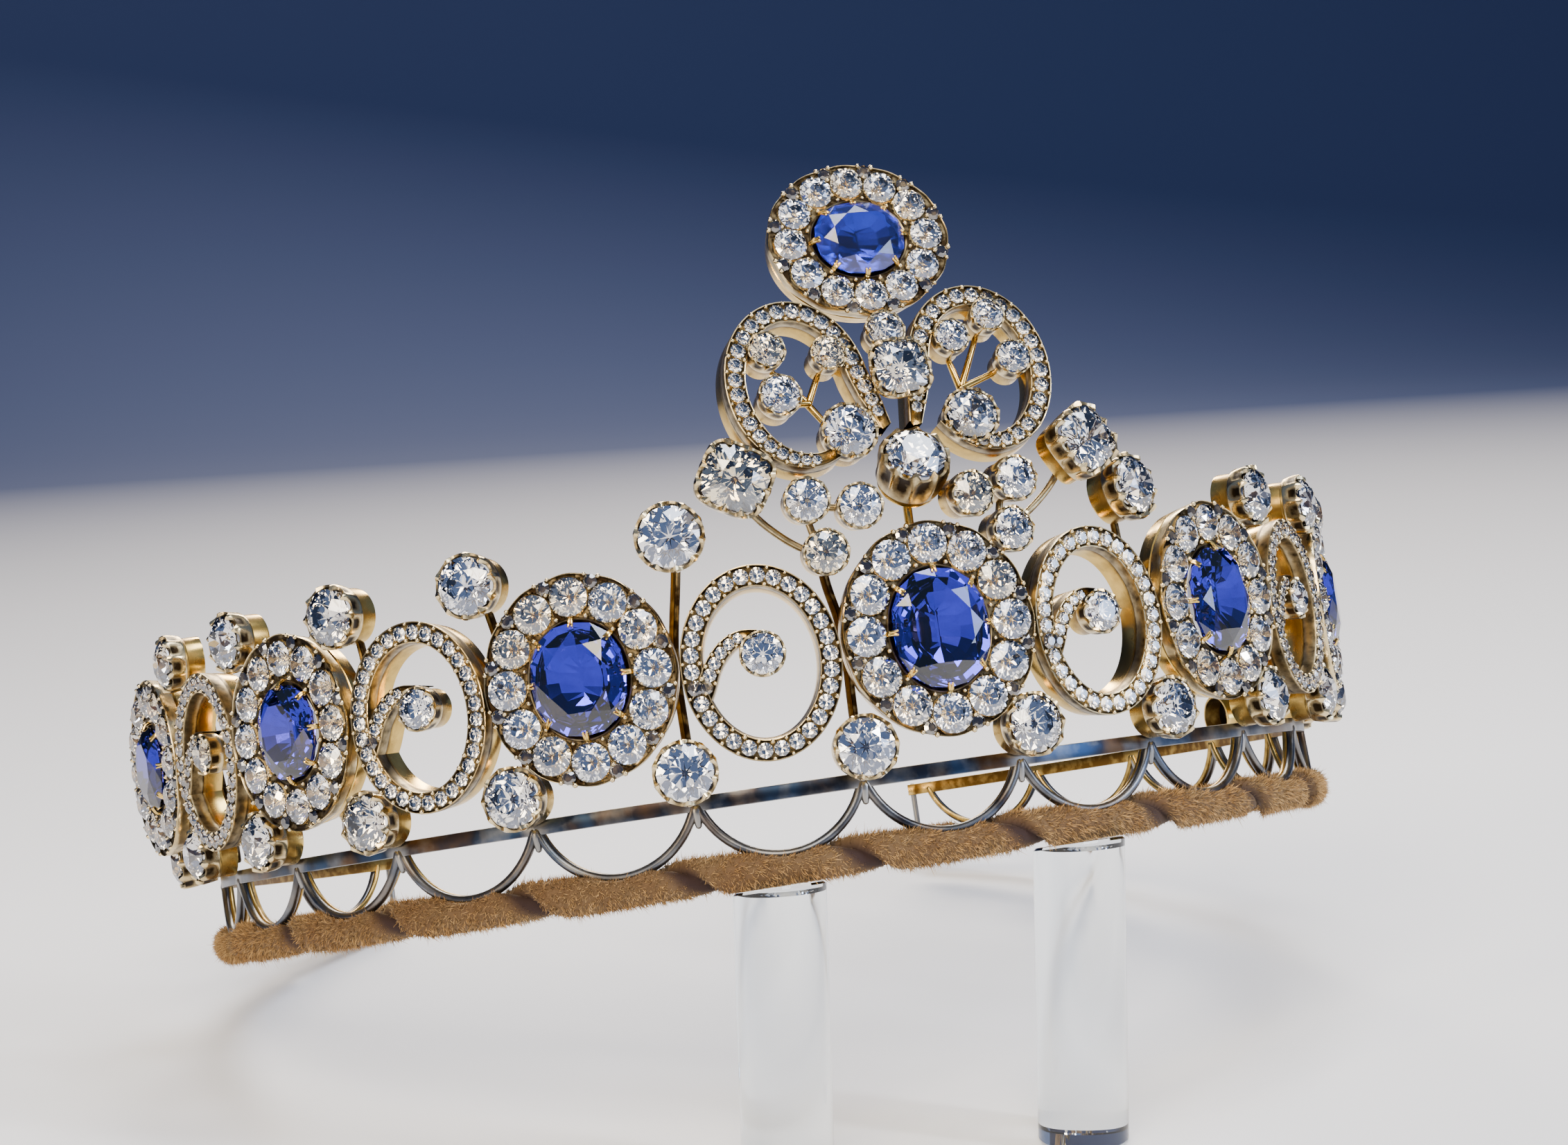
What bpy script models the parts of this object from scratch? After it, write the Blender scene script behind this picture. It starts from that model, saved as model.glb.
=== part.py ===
"""Diadem with oval clusters, pierced scrolls and a heart-shaped crest, on two clear posts.

Metres, +Z up, floor at z = 0. The diadem is modelled level, in its own frame: the ring's axis is Z,
z = 0 lies just inside the top of the velvet, and its front faces -Y. One empty then tilts it onto its posts.
An angle round the ring is 0 at the front and grows towards +X.
"""

from math import atan2, cos, hypot, pi, radians, sin, sqrt

import bmesh
import bpy
from mathutils import Euler, Matrix, Vector

MM = 0.001
GAP = 0.3 * MM  # clearance that neighbouring pieces keep

# Frame: a flat rail, a loop of wire under each element, and the wire that the velvet is wound on
RING_RADIUS = 75.0 * MM
PITCH = 15.0  # degrees from one element to the next
LOOPS = 19
END_MARGIN = 2.5  # degrees of frame past the last loop
RAIL_HEIGHT = 1.75 * MM
RAIL_THICKNESS = 1.2 * MM
LOOP_DEPTH = 6.8 * MM  # from the middle of the loop's lowest point to the rail
LOOP_LOW = 0.2 * MM  # height of the middle of the loop's lowest point
LOOP_WIRE = 0.95 * MM
CORE_WIRE = 1.2 * MM
CORE_DROP = 0.95 * MM  # middle of the core wire under z = 0; a peg under each loop joins it
RING_STEP = 7.5  # degrees between sections of what runs round the ring

# Velvet ribbon wound on the core wire
VELVET_DIAMETER = 4.2 * MM
WRAP_RELIEF = 0.12 * MM  # how far one edge of each wrap stands over the next

# Ornaments stand in front of the rail, each flat and tangent to the ring
ORNAMENT_DEPTH = 4.3 * MM
ORNAMENT_BACK = RING_RADIUS + 1.9 * MM  # from the ring's axis to the back of clusters and scrolls
ORNAMENT_FRONT = ORNAMENT_BACK + ORNAMENT_DEPTH

# Oval clusters: every second element, smaller to the sides
CLUSTER_WIDTH = 23.6 * MM
CLUSTER_HEIGHT = 25.2 * MM
CLUSTER_MIDDLE = 23.4 * MM
END_SWING = 9.0  # degrees that the last cluster on each side swings out about its inner edge
CLUSTER_SHARES = (1.0, 0.98, 0.955, 0.93)  # share of the full size, from the middle outwards
# Sapphire width and height of each cluster, from the left end to the right end
SAPPHIRE_SIZES = (
    (10.0 * MM, 11.2 * MM),
    (10.6 * MM, 11.6 * MM),
    (11.5 * MM, 13.2 * MM),
    (11.8 * MM, 14.0 * MM),
    (11.7 * MM, 13.1 * MM),
    (10.6 * MM, 11.6 * MM),
    (10.0 * MM, 11.2 * MM),
)
HALO_STONES = 12
OVAL_SIDES = 16
HALO_TAPER = 0.93  # the gallery's back as a share of its front
CROWN_HEIGHT = 1.1 * MM
SAPPHIRE_CROWN = 1.5 * MM
SAPPHIRE_PAVILION = 3.4 * MM

# Scrolls shaped like a 6: the elements between, all turned the same way, as wide as their neighbours leave room
SCROLL_CLEARANCE = 0.4 * MM
SCROLL_HEIGHT = 22.8 * MM
SCROLL_MIDDLE = 22.2 * MM
SCROLLS = (-5, -3, -1, 1, 3, 5)
BAND_WIDTH = 2.7 * MM
BAND_POINTS = 20  # around the oval
SCROLL_TAPER = 0.96
EYE_DIAMETER = 5.5 * MM
# Curl from the band to the eye. Columns: share of half the width, share of half the height, share of the band
CURL = (
    (-0.80, -0.31, 0.86),
    (-0.71, -0.18, 0.86),
    (-0.61, 0.02, 0.82),
    (-0.43, 0.20, 0.76),
    (-0.22, 0.29, 0.66),
    (-0.04, 0.28, 0.50),
)
EYE_PLACE = (0.03, 0.085)

# Collets: a cup with its diamond in front of a narrower tube
COLLET_DEPTH = 4.6 * MM
TUBE_SHARE = 0.86  # the tube's diameter as a share of the cup's
LOW_COLLET = 7.8 * MM
LOW_MIDDLE = 11.0 * MM
LOW_BACK = RING_RADIUS + RAIL_THICKNESS / 2 + 0.35 * MM
LOW_PLACES = tuple(side * (n + 0.5) for side in (-1, 1) for n in range(7))
# Tall collets on stalks. Columns: joint that the stalk rises from, place, diameter, height of the middle
TALL_BACK = RING_RADIUS + 2.0 * MM
STALK_WIRE = 0.9 * MM
TALL = (
    (1.5, 1.40, 8.4 * MM, 38.0 * MM),
    (2.5, 2.58, 8.0 * MM, 36.3 * MM),
    (3.5, 3.52, 8.0 * MM, 35.9 * MM),
    (4.5, 4.50, 7.8 * MM, 36.0 * MM),
    (5.5, 5.50, 7.6 * MM, 36.0 * MM),
)

# Sprigs at either side of the centre: three collets and a cushion-cut diamond on a curved stem.
# Columns: across from the joint, outwards, and height of the middle
SPRIG_COLLET = 5.6 * MM
SPRIG_CUSHION = (8.8 * MM, 8.3 * MM)
SPRIG_BACK = RING_RADIUS + 2.6 * MM
SPRIGS = {
    "left": ((3.0, 39.9), (-3.1, 38.5), (1.6, 33.7), (11.0, 43.3)),
    "right": ((1.5, 39.8), (-4.5, 38.5), (0.1, 33.9), (11.5, 43.7)),
}
CUSHION_TURN = 30.0  # degrees in its own plane

# Crest: it leans back over the middle cluster. Its own frame has x across and z up from the foot
CREST_FOOT = 36.0 * MM
CREST_LEAN = 12.0
CREST_FRONT = RING_RADIUS + 7.0 * MM
CREST_AXIS = -0.4 * MM
HEART_MIDDLE = (11.4 * MM, 18.1 * MM)
HEART_HALF = (7.5 * MM, 9.4 * MM)
HEART_BAND = 2.7 * MM
HEART_START = {"left": -66.0, "right": -38.0}  # degrees below level, where each lobe's band begins
STEM_FOOT = (1.9 * MM, 12.1 * MM)
# Stones of the crest. Columns: x, z, diameter
HEARTS = {
    "left": ((-6.9, 11.8, 7.0), (-14.8, 22.7, 4.7), (-7.4, 21.6, 4.5), (-14.3, 17.0, 5.3)),
    "right": ((8.4, 12.2, 7.0), (8.2, 22.3, 4.5), (13.3, 24.6, 4.4), (15.3, 18.9, 4.6)),
}
SPRAY_FOOT = (9.6 * MM, 16.8 * MM)
KNOP = (0.2 * MM, 7.1 * MM, 8.6 * MM)
CUSHION = (0.3 * MM, 18.3 * MM, 7.2 * MM)
BUD = (0.4 * MM, 23.4 * MM, 5.0 * MM)
BUD_DEPTH = 3.6 * MM
BUD_GAP = 0.3 * MM
TOP_SIZE = (22.6 * MM, 19.4 * MM)
TOP_SAPPHIRE = (11.1 * MM, 9.2 * MM)

# Stand: the ends of the frame rest on the floor and two clear posts hold up the front
TILT_FRONT = 15.3  # degrees that the front is raised
TILT_SIDE = 2.0  # degrees that the right side is raised
POST_DIAMETER = 11.0 * MM
POST_RADIUS_ON_RING = RING_RADIUS - 2.0 * MM
POST_ANGLES = {"left": -16.2, "right": 13.6}

# The top cluster stands on the bud
TOP_MIDDLE = BUD[1] + BUD[2] / 2 + BUD_GAP + TOP_SIZE[1] / 2
RAIL_LOW = LOOP_LOW + LOOP_DEPTH - LOOP_WIRE / 2
RAIL_TOP = RAIL_LOW + RAIL_HEIGHT
HALF_SPAN = LOOPS * PITCH / 2 + END_MARGIN


def material(name, colour, roughness, metallic, transmission=0.0):
    """A plain Principled material."""
    found = bpy.data.materials.new(name)
    found.use_nodes = True
    shader = found.node_tree.nodes["Principled BSDF"]
    shader.inputs["Base Color"].default_value = (*colour, 1.0)
    shader.inputs["Roughness"].default_value = roughness
    shader.inputs["Metallic"].default_value = metallic
    shader.inputs["Transmission Weight"].default_value = transmission
    return found


def around(angle, radius, height):
    """The point of the diadem's frame at this angle round the ring."""
    turn = radians(angle)
    return Vector((radius * sin(turn), -radius * cos(turn), height))


def tangent_frame(angle, radius, height):
    """A frame that touches the ring: x runs round it, y points at its axis."""
    return Matrix.Translation(around(angle, radius, height)) @ Matrix.Rotation(radians(angle), 4, "Z")


def new_object(name, mesh_builder, finish, parent=None, frame=None):
    """A mesh object from what mesh_builder adds to a bmesh."""
    mesh = bpy.data.meshes.new(name)
    bm = bmesh.new()
    mesh_builder(bm)
    bmesh.ops.recalc_face_normals(bm, faces=bm.faces)
    bm.to_mesh(mesh)
    bm.free()
    mesh.materials.append(finish)
    found = bpy.data.objects.new(name, mesh)
    bpy.context.scene.collection.objects.link(found)
    found.parent = parent
    found.matrix_local = frame or Matrix.Identity(4)
    return found


def add_modifier(base, tool, operation):
    """Joins the tool to the base, or cuts it away, and hides it."""
    modifier = base.modifiers.new(operation.lower() + "_" + tool.name, "BOOLEAN")
    modifier.operation = operation
    modifier.solver = "EXACT"
    modifier.object = tool
    tool.hide_render = True
    tool.display_type = "WIRE"


def loft(bm, sections, closed=False):
    """Faces between rings of points, capped at both ends unless the run is closed."""
    rings = [[bm.verts.new(point) for point in section] for section in sections]
    pairs = list(zip(rings, rings[1:] + rings[:1])) if closed else list(zip(rings, rings[1:]))
    for first, second in pairs:
        for i in range(len(first)):
            j = (i + 1) % len(first)
            bm.faces.new((first[i], first[j], second[j], second[i]))
    if not closed:
        bm.faces.new(rings[0])
        bm.faces.new(rings[-1])


def wire(bm, points, diameter, sides=4):
    """A round wire through the points, its section carried along without a twist."""
    points = [Vector(p) for p in points]
    side = None
    sections = []
    for i, point in enumerate(points):
        along = (points[min(i + 1, len(points) - 1)] - points[max(i - 1, 0)]).normalized()
        if side is None:
            side = along.orthogonal()
        side = (side - along * side.dot(along)).normalized()
        up = side.cross(along)
        sections.append([
            point + (side * cos(2 * pi * n / sides) + up * sin(2 * pi * n / sides)) * diameter / 2
            for n in range(sides)
        ])
    loft(bm, sections)


def band(bm, path, widths, front, back, closed=False, taper=1.0):
    """A flat band on edge: path in x and z, width across it in that plane, depth along y."""
    sections = []
    for i, (x, z) in enumerate(path):
        last = len(path) - 1
        before = path[i - 1] if closed or i else path[0]
        after = path[(i + 1) % len(path)] if closed or i < last else path[last]
        along = Vector((after[0] - before[0], after[1] - before[1])).normalized()
        across = Vector((along.y, -along.x)) * widths[i] / 2
        outer, inner = Vector((x, z)) + across, Vector((x, z)) - across
        sections.append([
            (outer.x, front, outer.y), (inner.x, front, inner.y),
            (inner.x * taper, back, inner.y * taper), (outer.x * taper, back, outer.y * taper),
        ])
    loft(bm, sections, closed)


def oval(half_width, half_height, count, turn=0.0, power=2.0):
    """Points of an oval in x and z. A power over 2 squares it off, as a cushion cut is."""
    points = []
    for n in range(count):
        angle = 2 * pi * (n + turn) / count
        c, s = cos(angle), sin(angle)
        reach = (abs(c) ** power + abs(s) ** power) ** (-1 / power)
        points.append((half_width * reach * c, half_height * reach * s))
    return points


def even_oval(half_width, half_height, count):
    """Points at even steps of length along an oval, from its top, and that step."""
    fine = 720
    walk = [(half_width * sin(2 * pi * n / fine), half_height * cos(2 * pi * n / fine)) for n in range(fine + 1)]
    lengths = [0.0]
    for first, second in zip(walk, walk[1:]):
        lengths.append(lengths[-1] + hypot(second[0] - first[0], second[1] - first[1]))
    step = lengths[-1] / count
    return [walk[min(range(fine), key=lambda i: abs(lengths[i] - n * step))] for n in range(count)], step


def ring_at(points, depth):
    return [(x, depth, z) for x, z in points]


def crown(bm, x, z, girdle, table, base, height, sides=8):
    """The visible part of a small cut stone: a table and one facet for each side."""
    loft(bm, [
        [(x + girdle * u, base, z + girdle * v) for u, v in oval(1, 1, sides, 0.5)],
        [(x + table * u, base - height, z + table * v) for u, v in oval(1, 1, sides, 0.5)],
    ])


def collet(bm, x, z, diameter, depth, front=0.0, sides=10, squareness=2.0, other=None, turn=0.0):
    """A tube, a cup on it, and in the cup a stone with a table, star facets and kite facets."""
    half = (diameter / 2, (other or diameter) / 2)

    def section(share, y, count=sides, offset=0.0):
        points = []
        for u, v in oval(half[0] * share, half[1] * share, count, offset, squareness):
            points.append((x + u * cos(turn) - v * sin(turn), y, z + u * sin(turn) + v * cos(turn)))
        return points

    back = front + depth
    shoulder = front + depth * 0.45
    walls = [
        section(TUBE_SHARE, back),
        section(TUBE_SHARE, shoulder),
        section(0.96, shoulder - depth * 0.05),
        section(1.0, front),
    ]
    rings = [[bm.verts.new(point) for point in wall] for wall in walls]
    for first, second in zip(rings, rings[1:]):
        for i in range(sides):
            j = (i + 1) % sides
            bm.faces.new((first[i], first[j], second[j], second[i]))
    bm.faces.new(rings[0])
    girdle = rings[-1]
    table = [bm.verts.new(point) for point in section(0.5, front - diameter * 0.17, sides // 2)]
    bm.faces.new(table)
    for i, corner in enumerate(table):
        following = table[(i + 1) % len(table)]
        bm.faces.new((corner, following, girdle[2 * i + 1]))
        bm.faces.new((corner, girdle[2 * i], girdle[2 * i + 1]))
        bm.faces.new((corner, girdle[2 * i - 1], girdle[2 * i]))


def halo(bm, width, height, opening):
    """A cluster's gallery: an oval ring, narrower at the back, pierced for the middle stone."""
    outer, inner = (width / 2, height / 2), opening
    loft(bm, [
        ring_at(oval(*outer, OVAL_SIDES), 0.0),
        ring_at(oval(outer[0] * HALO_TAPER, outer[1] * HALO_TAPER, OVAL_SIDES), ORNAMENT_DEPTH),
        ring_at(oval(*inner, OVAL_SIDES), ORNAMENT_DEPTH),
        ring_at(oval(*inner, OVAL_SIDES), 0.0),
    ], closed=True)


def halo_stones(bm, width, height, opening):
    """Diamonds at even steps round the gallery, sunk a little in its face."""
    middle = ((width / 2 + opening[0]) / 2, (height / 2 + opening[1]) / 2)
    places, step = even_oval(*middle, HALO_STONES)
    across = (width / 2 - opening[0] + height / 2 - opening[1]) / 4
    girdle = min(0.485 * step, 0.93 * across)
    for x, z in places:
        crown(bm, x, z, girdle, 0.56 * girdle, 0.1 * MM, CROWN_HEIGHT)


def cluster(name, width, height, stone_width, stone_height, parent, frame):
    """The halo with its diamonds as one piece, and the sapphire as another."""
    opening = (stone_width / 2 + GAP, stone_height / 2 + GAP)
    ring = new_object(name + "_halo", lambda bm: halo(bm, width, height, opening), SILVER, parent, frame)
    stones = new_object(
        name + "_halo_stones", lambda bm: halo_stones(bm, width, height, opening), DIAMOND, parent, frame)
    add_modifier(ring, stones, "UNION")
    half = (stone_width / 2, stone_height / 2)

    def cut(bm):
        loft(bm, [
            ring_at(oval(half[0] * 0.25, half[1] * 0.3, 10), SAPPHIRE_PAVILION),
            ring_at(oval(half[0], half[1], 10, 0.5, 2.3), -0.1 * MM),
            ring_at(oval(half[0], half[1], 10, 0.5, 2.3), -0.4 * MM),
            ring_at(oval(half[0] * 0.58, half[1] * 0.58, 10, 0.5, 2.3), -0.4 * MM - SAPPHIRE_CROWN),
        ])

    new_object(name + "_sapphire", cut, SAPPHIRE, parent, frame)


def cluster_frame(number):
    """The plane of a cluster, counted from the middle; the last one on each side swings out."""
    frame = tangent_frame(2 * number * PITCH, ORNAMENT_FRONT, CLUSTER_MIDDLE)
    if abs(number) < len(CLUSTER_SHARES) - 1:
        return frame
    side = 1 if number > 0 else -1
    hinge = Matrix.Translation((-side * CLUSTER_WIDTH * CLUSTER_SHARES[-1] / 2, 0.0, 0.0))
    return frame @ hinge @ Matrix.Rotation(-side * radians(END_SWING), 4, "Z") @ hinge.inverted()


def room_beside(element):
    """How far a neighbouring cluster lets this element reach along its own plane."""
    share = CLUSTER_SHARES[round(abs(element) / 2)]
    return ORNAMENT_FRONT * sin(radians(PITCH)) - CLUSTER_WIDTH / 2 * share * cos(radians(PITCH))


def scroll(name, element, parent):
    """The closed oval band, the curl inside it and the collet that ends the curl, soldered together."""
    left, right = (room_beside(element + side) - SCROLL_CLEARANCE for side in (-1, 1))
    width = left + right
    frame = tangent_frame(element * PITCH, ORNAMENT_FRONT, SCROLL_MIDDLE)
    frame = frame @ Matrix.Translation(((right - left) / 2, 0.0, 0.0))
    half = ((width - BAND_WIDTH) / 2, (SCROLL_HEIGHT - BAND_WIDTH) / 2)
    path = oval(*half, BAND_POINTS)
    ring = new_object(
        name,
        lambda bm: band(bm, path, [BAND_WIDTH] * len(path), 0.0, ORNAMENT_DEPTH, True, SCROLL_TAPER),
        SILVER, parent, frame)
    curl_path = [(x * width / 2, z * SCROLL_HEIGHT / 2) for x, z, _ in CURL]
    curl = new_object(
        name + "_curl",
        lambda bm: band(bm, curl_path, [w * BAND_WIDTH for *_, w in CURL], 0.1 * MM, 0.8 * ORNAMENT_DEPTH),
        SILVER, parent, frame)
    eye = new_object(
        name + "_eye",
        lambda bm: collet(bm, EYE_PLACE[0] * width / 2, EYE_PLACE[1] * SCROLL_HEIGHT / 2,
                          EYE_DIAMETER, 0.95 * ORNAMENT_DEPTH, -0.3 * MM),
        DIAMOND, parent, frame)
    add_modifier(ring, curl, "UNION")
    add_modifier(ring, eye, "UNION")


def loop_half():
    """Half the loop's width at the rail, measured along the ring."""
    return radians(PITCH / 2) * RING_RADIUS - 0.3 * LOOP_WIRE


def loop_bend():
    """The radius of the circle that each loop is an arc of."""
    return (loop_half() ** 2 + LOOP_DEPTH**2) / (2 * LOOP_DEPTH)


def loop_path(element):
    """A loop as an arc of a circle laid on the ring, its ends meeting the rail."""
    bend = loop_bend()
    reach = atan2(loop_half(), bend - LOOP_DEPTH)
    points = []
    for n in range(7):
        turn = reach * (n / 3 - 1)
        points.append((
            element * PITCH + (bend * sin(turn)) / RING_RADIUS * 180 / pi, LOOP_LOW + bend * (1 - cos(turn))))
    return points


def frame_wires(bm, elements):
    """Loops of wire whose ends reach into the rail."""
    for element in elements:
        wire(bm, [around(angle, RING_RADIUS, z) for angle, z in loop_path(element)], LOOP_WIRE)


def frame_pegs(bm, elements):
    """A peg from each loop's lowest point down into the core wire."""
    for element in elements:
        wire(bm, [around(element * PITCH, RING_RADIUS, z) for z in (-CORE_DROP, LOOP_LOW)], 0.9 * LOOP_WIRE)


def ring_run(bm, section, span, step=RING_STEP):
    """A section of radius and height swept round the ring, with its angle handed to the section."""
    count = round(2 * span / step)
    sections = []
    for n in range(count + 1):
        angle = -span + 2 * span * n / count
        sections.append([around(angle, radius, z) for radius, z in section(angle)])
    loft(bm, sections)


def rail_section(angle):
    inner, outer = RING_RADIUS - RAIL_THICKNESS / 2, RING_RADIUS + RAIL_THICKNESS / 2
    return (inner, RAIL_LOW), (outer, RAIL_LOW), (outer, RAIL_TOP), (inner, RAIL_TOP)


def core_section(extra=0.0):
    reach = (CORE_WIRE + extra) / 2
    return lambda angle: [
        (RING_RADIUS + reach * cos(pi * n / 2), -CORE_DROP + reach * sin(pi * n / 2)) for n in range(4)
    ]


def frame_band(parent):
    """Rail, loops and core wire, soldered into one piece that is open at the back."""
    elements = [n - LOOPS // 2 for n in range(LOOPS)]

    def rail_and_core(bm):
        ring_run(bm, rail_section, HALF_SPAN)
        ring_run(bm, core_section(), HALF_SPAN)

    base = new_object("frame_band", rail_and_core, SILVER, parent)
    for name, chosen in (("even", elements[::2]), ("odd", elements[1::2])):
        add_modifier(base, new_object(
            "loops_" + name, lambda bm: frame_wires(bm, chosen), SILVER, parent), "UNION")
    add_modifier(base, new_object("pegs", lambda bm: frame_pegs(bm, elements), SILVER, parent), "UNION")

    def ends(bm):
        for side in (-1, 1):
            angle = side * (HALF_SPAN - 0.5)
            wire(bm, [around(angle, RING_RADIUS, z) for z in (-CORE_DROP, RAIL_TOP - 0.5 * MM)], LOOP_WIRE)

    add_modifier(base, new_object("frame_ends", ends, SILVER, parent), "UNION")


def velvet(parent):
    """The wound ribbon: one wrap for each loop, hollow where the frame's wires run inside it."""
    elements = [n - LOOPS // 2 for n in range(LOOPS)]
    span = HALF_SPAN - 1.6

    def section(angle):
        points = []
        for n in range(8):
            turn = 2 * pi * (n + 0.5) / 8
            phase = (angle / PITCH + turn / (2 * pi)) % 1.0
            reach = VELVET_DIAMETER / 2 + WRAP_RELIEF * (2 * phase - 1)
            points.append((RING_RADIUS + reach * cos(turn), -CORE_DROP + reach * sin(turn)))
        return points

    tube = new_object("velvet_binding", lambda bm: ring_run(bm, section, span, PITCH / 2), VELVET, parent)
    bore = new_object(
        "velvet_bore", lambda bm: ring_run(bm, core_section(2 * GAP), HALF_SPAN + 1), VELVET, parent)
    add_modifier(tube, bore, "DIFFERENCE")
    bend = loop_bend()
    top = VELVET_DIAMETER / 2 + WRAP_RELIEF - CORE_DROP
    rise = max(GAP, top + GAP + LOOP_WIRE / 2 - LOOP_LOW)  # the loop is clear of the velvet from here up
    reach = sqrt(bend**2 - (bend - rise) ** 2)
    sag = RING_RADIUS - sqrt(RING_RADIUS**2 - reach**2)
    across = LOOP_WIRE / 2 + GAP

    def slots(bm, half, extra, low):
        for element in elements:
            frame = tangent_frame(element * PITCH, RING_RADIUS, 0.0)
            loft(bm, [
                [frame @ Vector((x, y, z)) for x, y in (
                    (-half, -across), (half, -across), (half, across + extra), (-half, across + extra))]
                for z in (low, VELVET_DIAMETER)
            ])

    for name, half, extra, low in (
            ("velvet_loop_slots", reach, sag, LOOP_LOW - across), ("velvet_peg_holes", across, 0.0, -CORE_DROP)):
        add_modifier(tube, new_object(
            name, lambda bm: slots(bm, half, extra, low), VELVET, parent), "DIFFERENCE")


def stalk_points(joint, place, height, back):
    """From just over the rail, up behind the low collet and the gap between elements, into a collet's back."""
    low, high = RING_RADIUS + 0.2 * MM, ORNAMENT_BACK - 0.75 * MM
    return [
        around(joint * PITCH, low, RAIL_TOP + GAP),
        around(joint * PITCH, low, LOW_MIDDLE + 0.6 * LOW_COLLET),
        around(joint * PITCH, high, LOW_MIDDLE + 1.2 * LOW_COLLET),
        around(joint * PITCH, high, CLUSTER_MIDDLE + 2 * MM),
        around(place * PITCH, back - 0.3 * MM, height - 2.6 * MM),
        around(place * PITCH, back + 1.0 * MM, height),
    ]


def low_and_tall_collets(parent):
    for place in LOW_PLACES:
        side = "left" if place < 0 else "right"
        new_object(
            f"low_collet_{side}_{int(abs(place) + 1)}", lambda bm: collet(bm, 0.0, 0.0, LOW_COLLET, COLLET_DEPTH),
            DIAMOND, parent, tangent_frame(place * PITCH, LOW_BACK + COLLET_DEPTH, LOW_MIDDLE))
    for number, (joint, place, diameter, height) in enumerate(TALL, 1):
        for side, sign in (("left", -1), ("right", 1)):
            frame = tangent_frame(sign * place * PITCH, TALL_BACK + COLLET_DEPTH, height)
            cup = new_object(
                f"tall_collet_{side}_{number}", lambda bm: collet(bm, 0.0, 0.0, diameter, COLLET_DEPTH),
                DIAMOND, parent, frame)
            stalk = new_object(
                f"stalk_{side}_{number}",
                lambda bm: wire(bm, stalk_points(sign * joint, sign * place, height, TALL_BACK), STALK_WIRE),
                GOLD, parent)
            add_modifier(cup, stalk, "UNION")


def side_sprig(side, parent):
    """Three collets in a trefoil and a cushion-cut diamond, on wires that end in one stalk."""
    sign = -1 if side == "left" else 1
    joint = sign * 0.5
    frame = tangent_frame(joint * PITCH, SPRIG_BACK + COLLET_DEPTH, 0.0)
    places = [(sign * across * MM, height * MM) for across, height in SPRIGS[side]]

    def trefoil(bm):
        for x, z in places[:3]:
            collet(bm, x, z, SPRIG_COLLET, COLLET_DEPTH, sides=10)
        x, z = places[3]
        collet(bm, x, z, SPRIG_CUSHION[0], COLLET_DEPTH, -0.6 * MM, 12, 3.2, SPRIG_CUSHION[1],
               sign * radians(CUSHION_TURN))

    back = COLLET_DEPTH - 0.5 * MM
    node = (places[2][0], places[2][1])

    def stems(bm):
        low = places[2]
        wire(bm, [(low[0], back, low[1]), (places[0][0], back, places[0][1])], STALK_WIRE)

    def cross(bm):
        wire(bm, [(places[1][0], back, places[1][1]), (places[0][0], back, places[0][1])], STALK_WIRE)

    def arm(bm):
        far = places[3]
        wire(bm, [
            (node[0], back, node[1]),
            (node[0] + (far[0] - node[0]) * 0.35, back, node[1] + (far[1] - node[1]) * 0.18),
            (node[0] + (far[0] - node[0]) * 0.75, back, node[1] + (far[1] - node[1]) * 0.55),
            (far[0], back, far[1]),
        ], STALK_WIRE)

    cup = new_object(f"side_sprig_{side}", trefoil, DIAMOND, parent, frame)
    for name, builder in (("stems", stems), ("cross", cross), ("arm", arm)):
        add_modifier(cup, new_object(f"sprig_{name}_{side}", builder, GOLD, parent, frame), "UNION")
    place = joint + degrees_across(places[2][0]) / PITCH
    stalk = new_object(
        f"sprig_stalk_{side}",
        lambda bm: wire(bm, stalk_points(joint, place, places[2][1], SPRIG_BACK), STALK_WIRE),
        GOLD, parent)
    add_modifier(cup, stalk, "UNION")


def degrees_across(x):
    """The turn round the ring of a point this far across a tangent piece."""
    return atan2(x, SPRIG_BACK) * 180 / pi


def heart_path(side, sign):
    """From under the large collet, round the outside and over the top, then down the stem."""
    count, start, end = 17, radians(HEART_START[side]), radians(-354)
    path = []
    for n in range(count):
        turn = start + (end - start) * n / (count - 1)
        path.append((sign * (HEART_MIDDLE[0] + HEART_HALF[0] * -cos(turn)), HEART_MIDDLE[1] + HEART_HALF[1] * sin(turn)))
    path.append((sign * STEM_FOOT[0], STEM_FOOT[1]))
    return [(x + CREST_AXIS, z) for x, z in path]


def heart(side, parent):
    """One lobe of the crest with the large collet at its foot and a spray of three small ones."""
    sign = -1 if side == "left" else 1
    path = heart_path(side, sign)
    widths = [HEART_BAND * (0.55 + 0.45 * min(1.0, n / 4)) for n in range(len(path))]
    widths[-2:] = [0.8 * HEART_BAND, 0.6 * HEART_BAND]
    lobe = new_object(
        f"crest_scroll_{side}", lambda bm: band(bm, path, widths, 0.0, ORNAMENT_DEPTH), SILVER, parent)
    stones = [[value * MM for value in row] for row in HEARTS[side]]

    def cups(bm):
        for number, (x, z, diameter) in enumerate(stones):
            collet(bm, x, z, diameter, ORNAMENT_DEPTH, -0.5 * MM, 10 if number == 0 else 8)

    foot = (sign * SPRAY_FOOT[0] + CREST_AXIS, SPRAY_FOOT[1])
    add_modifier(lobe, new_object(f"crest_cups_{side}", cups, DIAMOND, parent), "UNION")
    for number, (x, z, _) in enumerate(stones):
        depth = ORNAMENT_DEPTH - (0.9 + 0.13 * number) * MM
        rod = new_object(
            f"spray_{side}_{number}",
            lambda bm: wire(bm, [
                (foot[0] - 0.05 * (x - foot[0]), depth, foot[1] - 0.05 * (z - foot[1])), (x, depth, z)
            ], STALK_WIRE), GOLD, parent)
        add_modifier(lobe, rod, "UNION")


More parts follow.
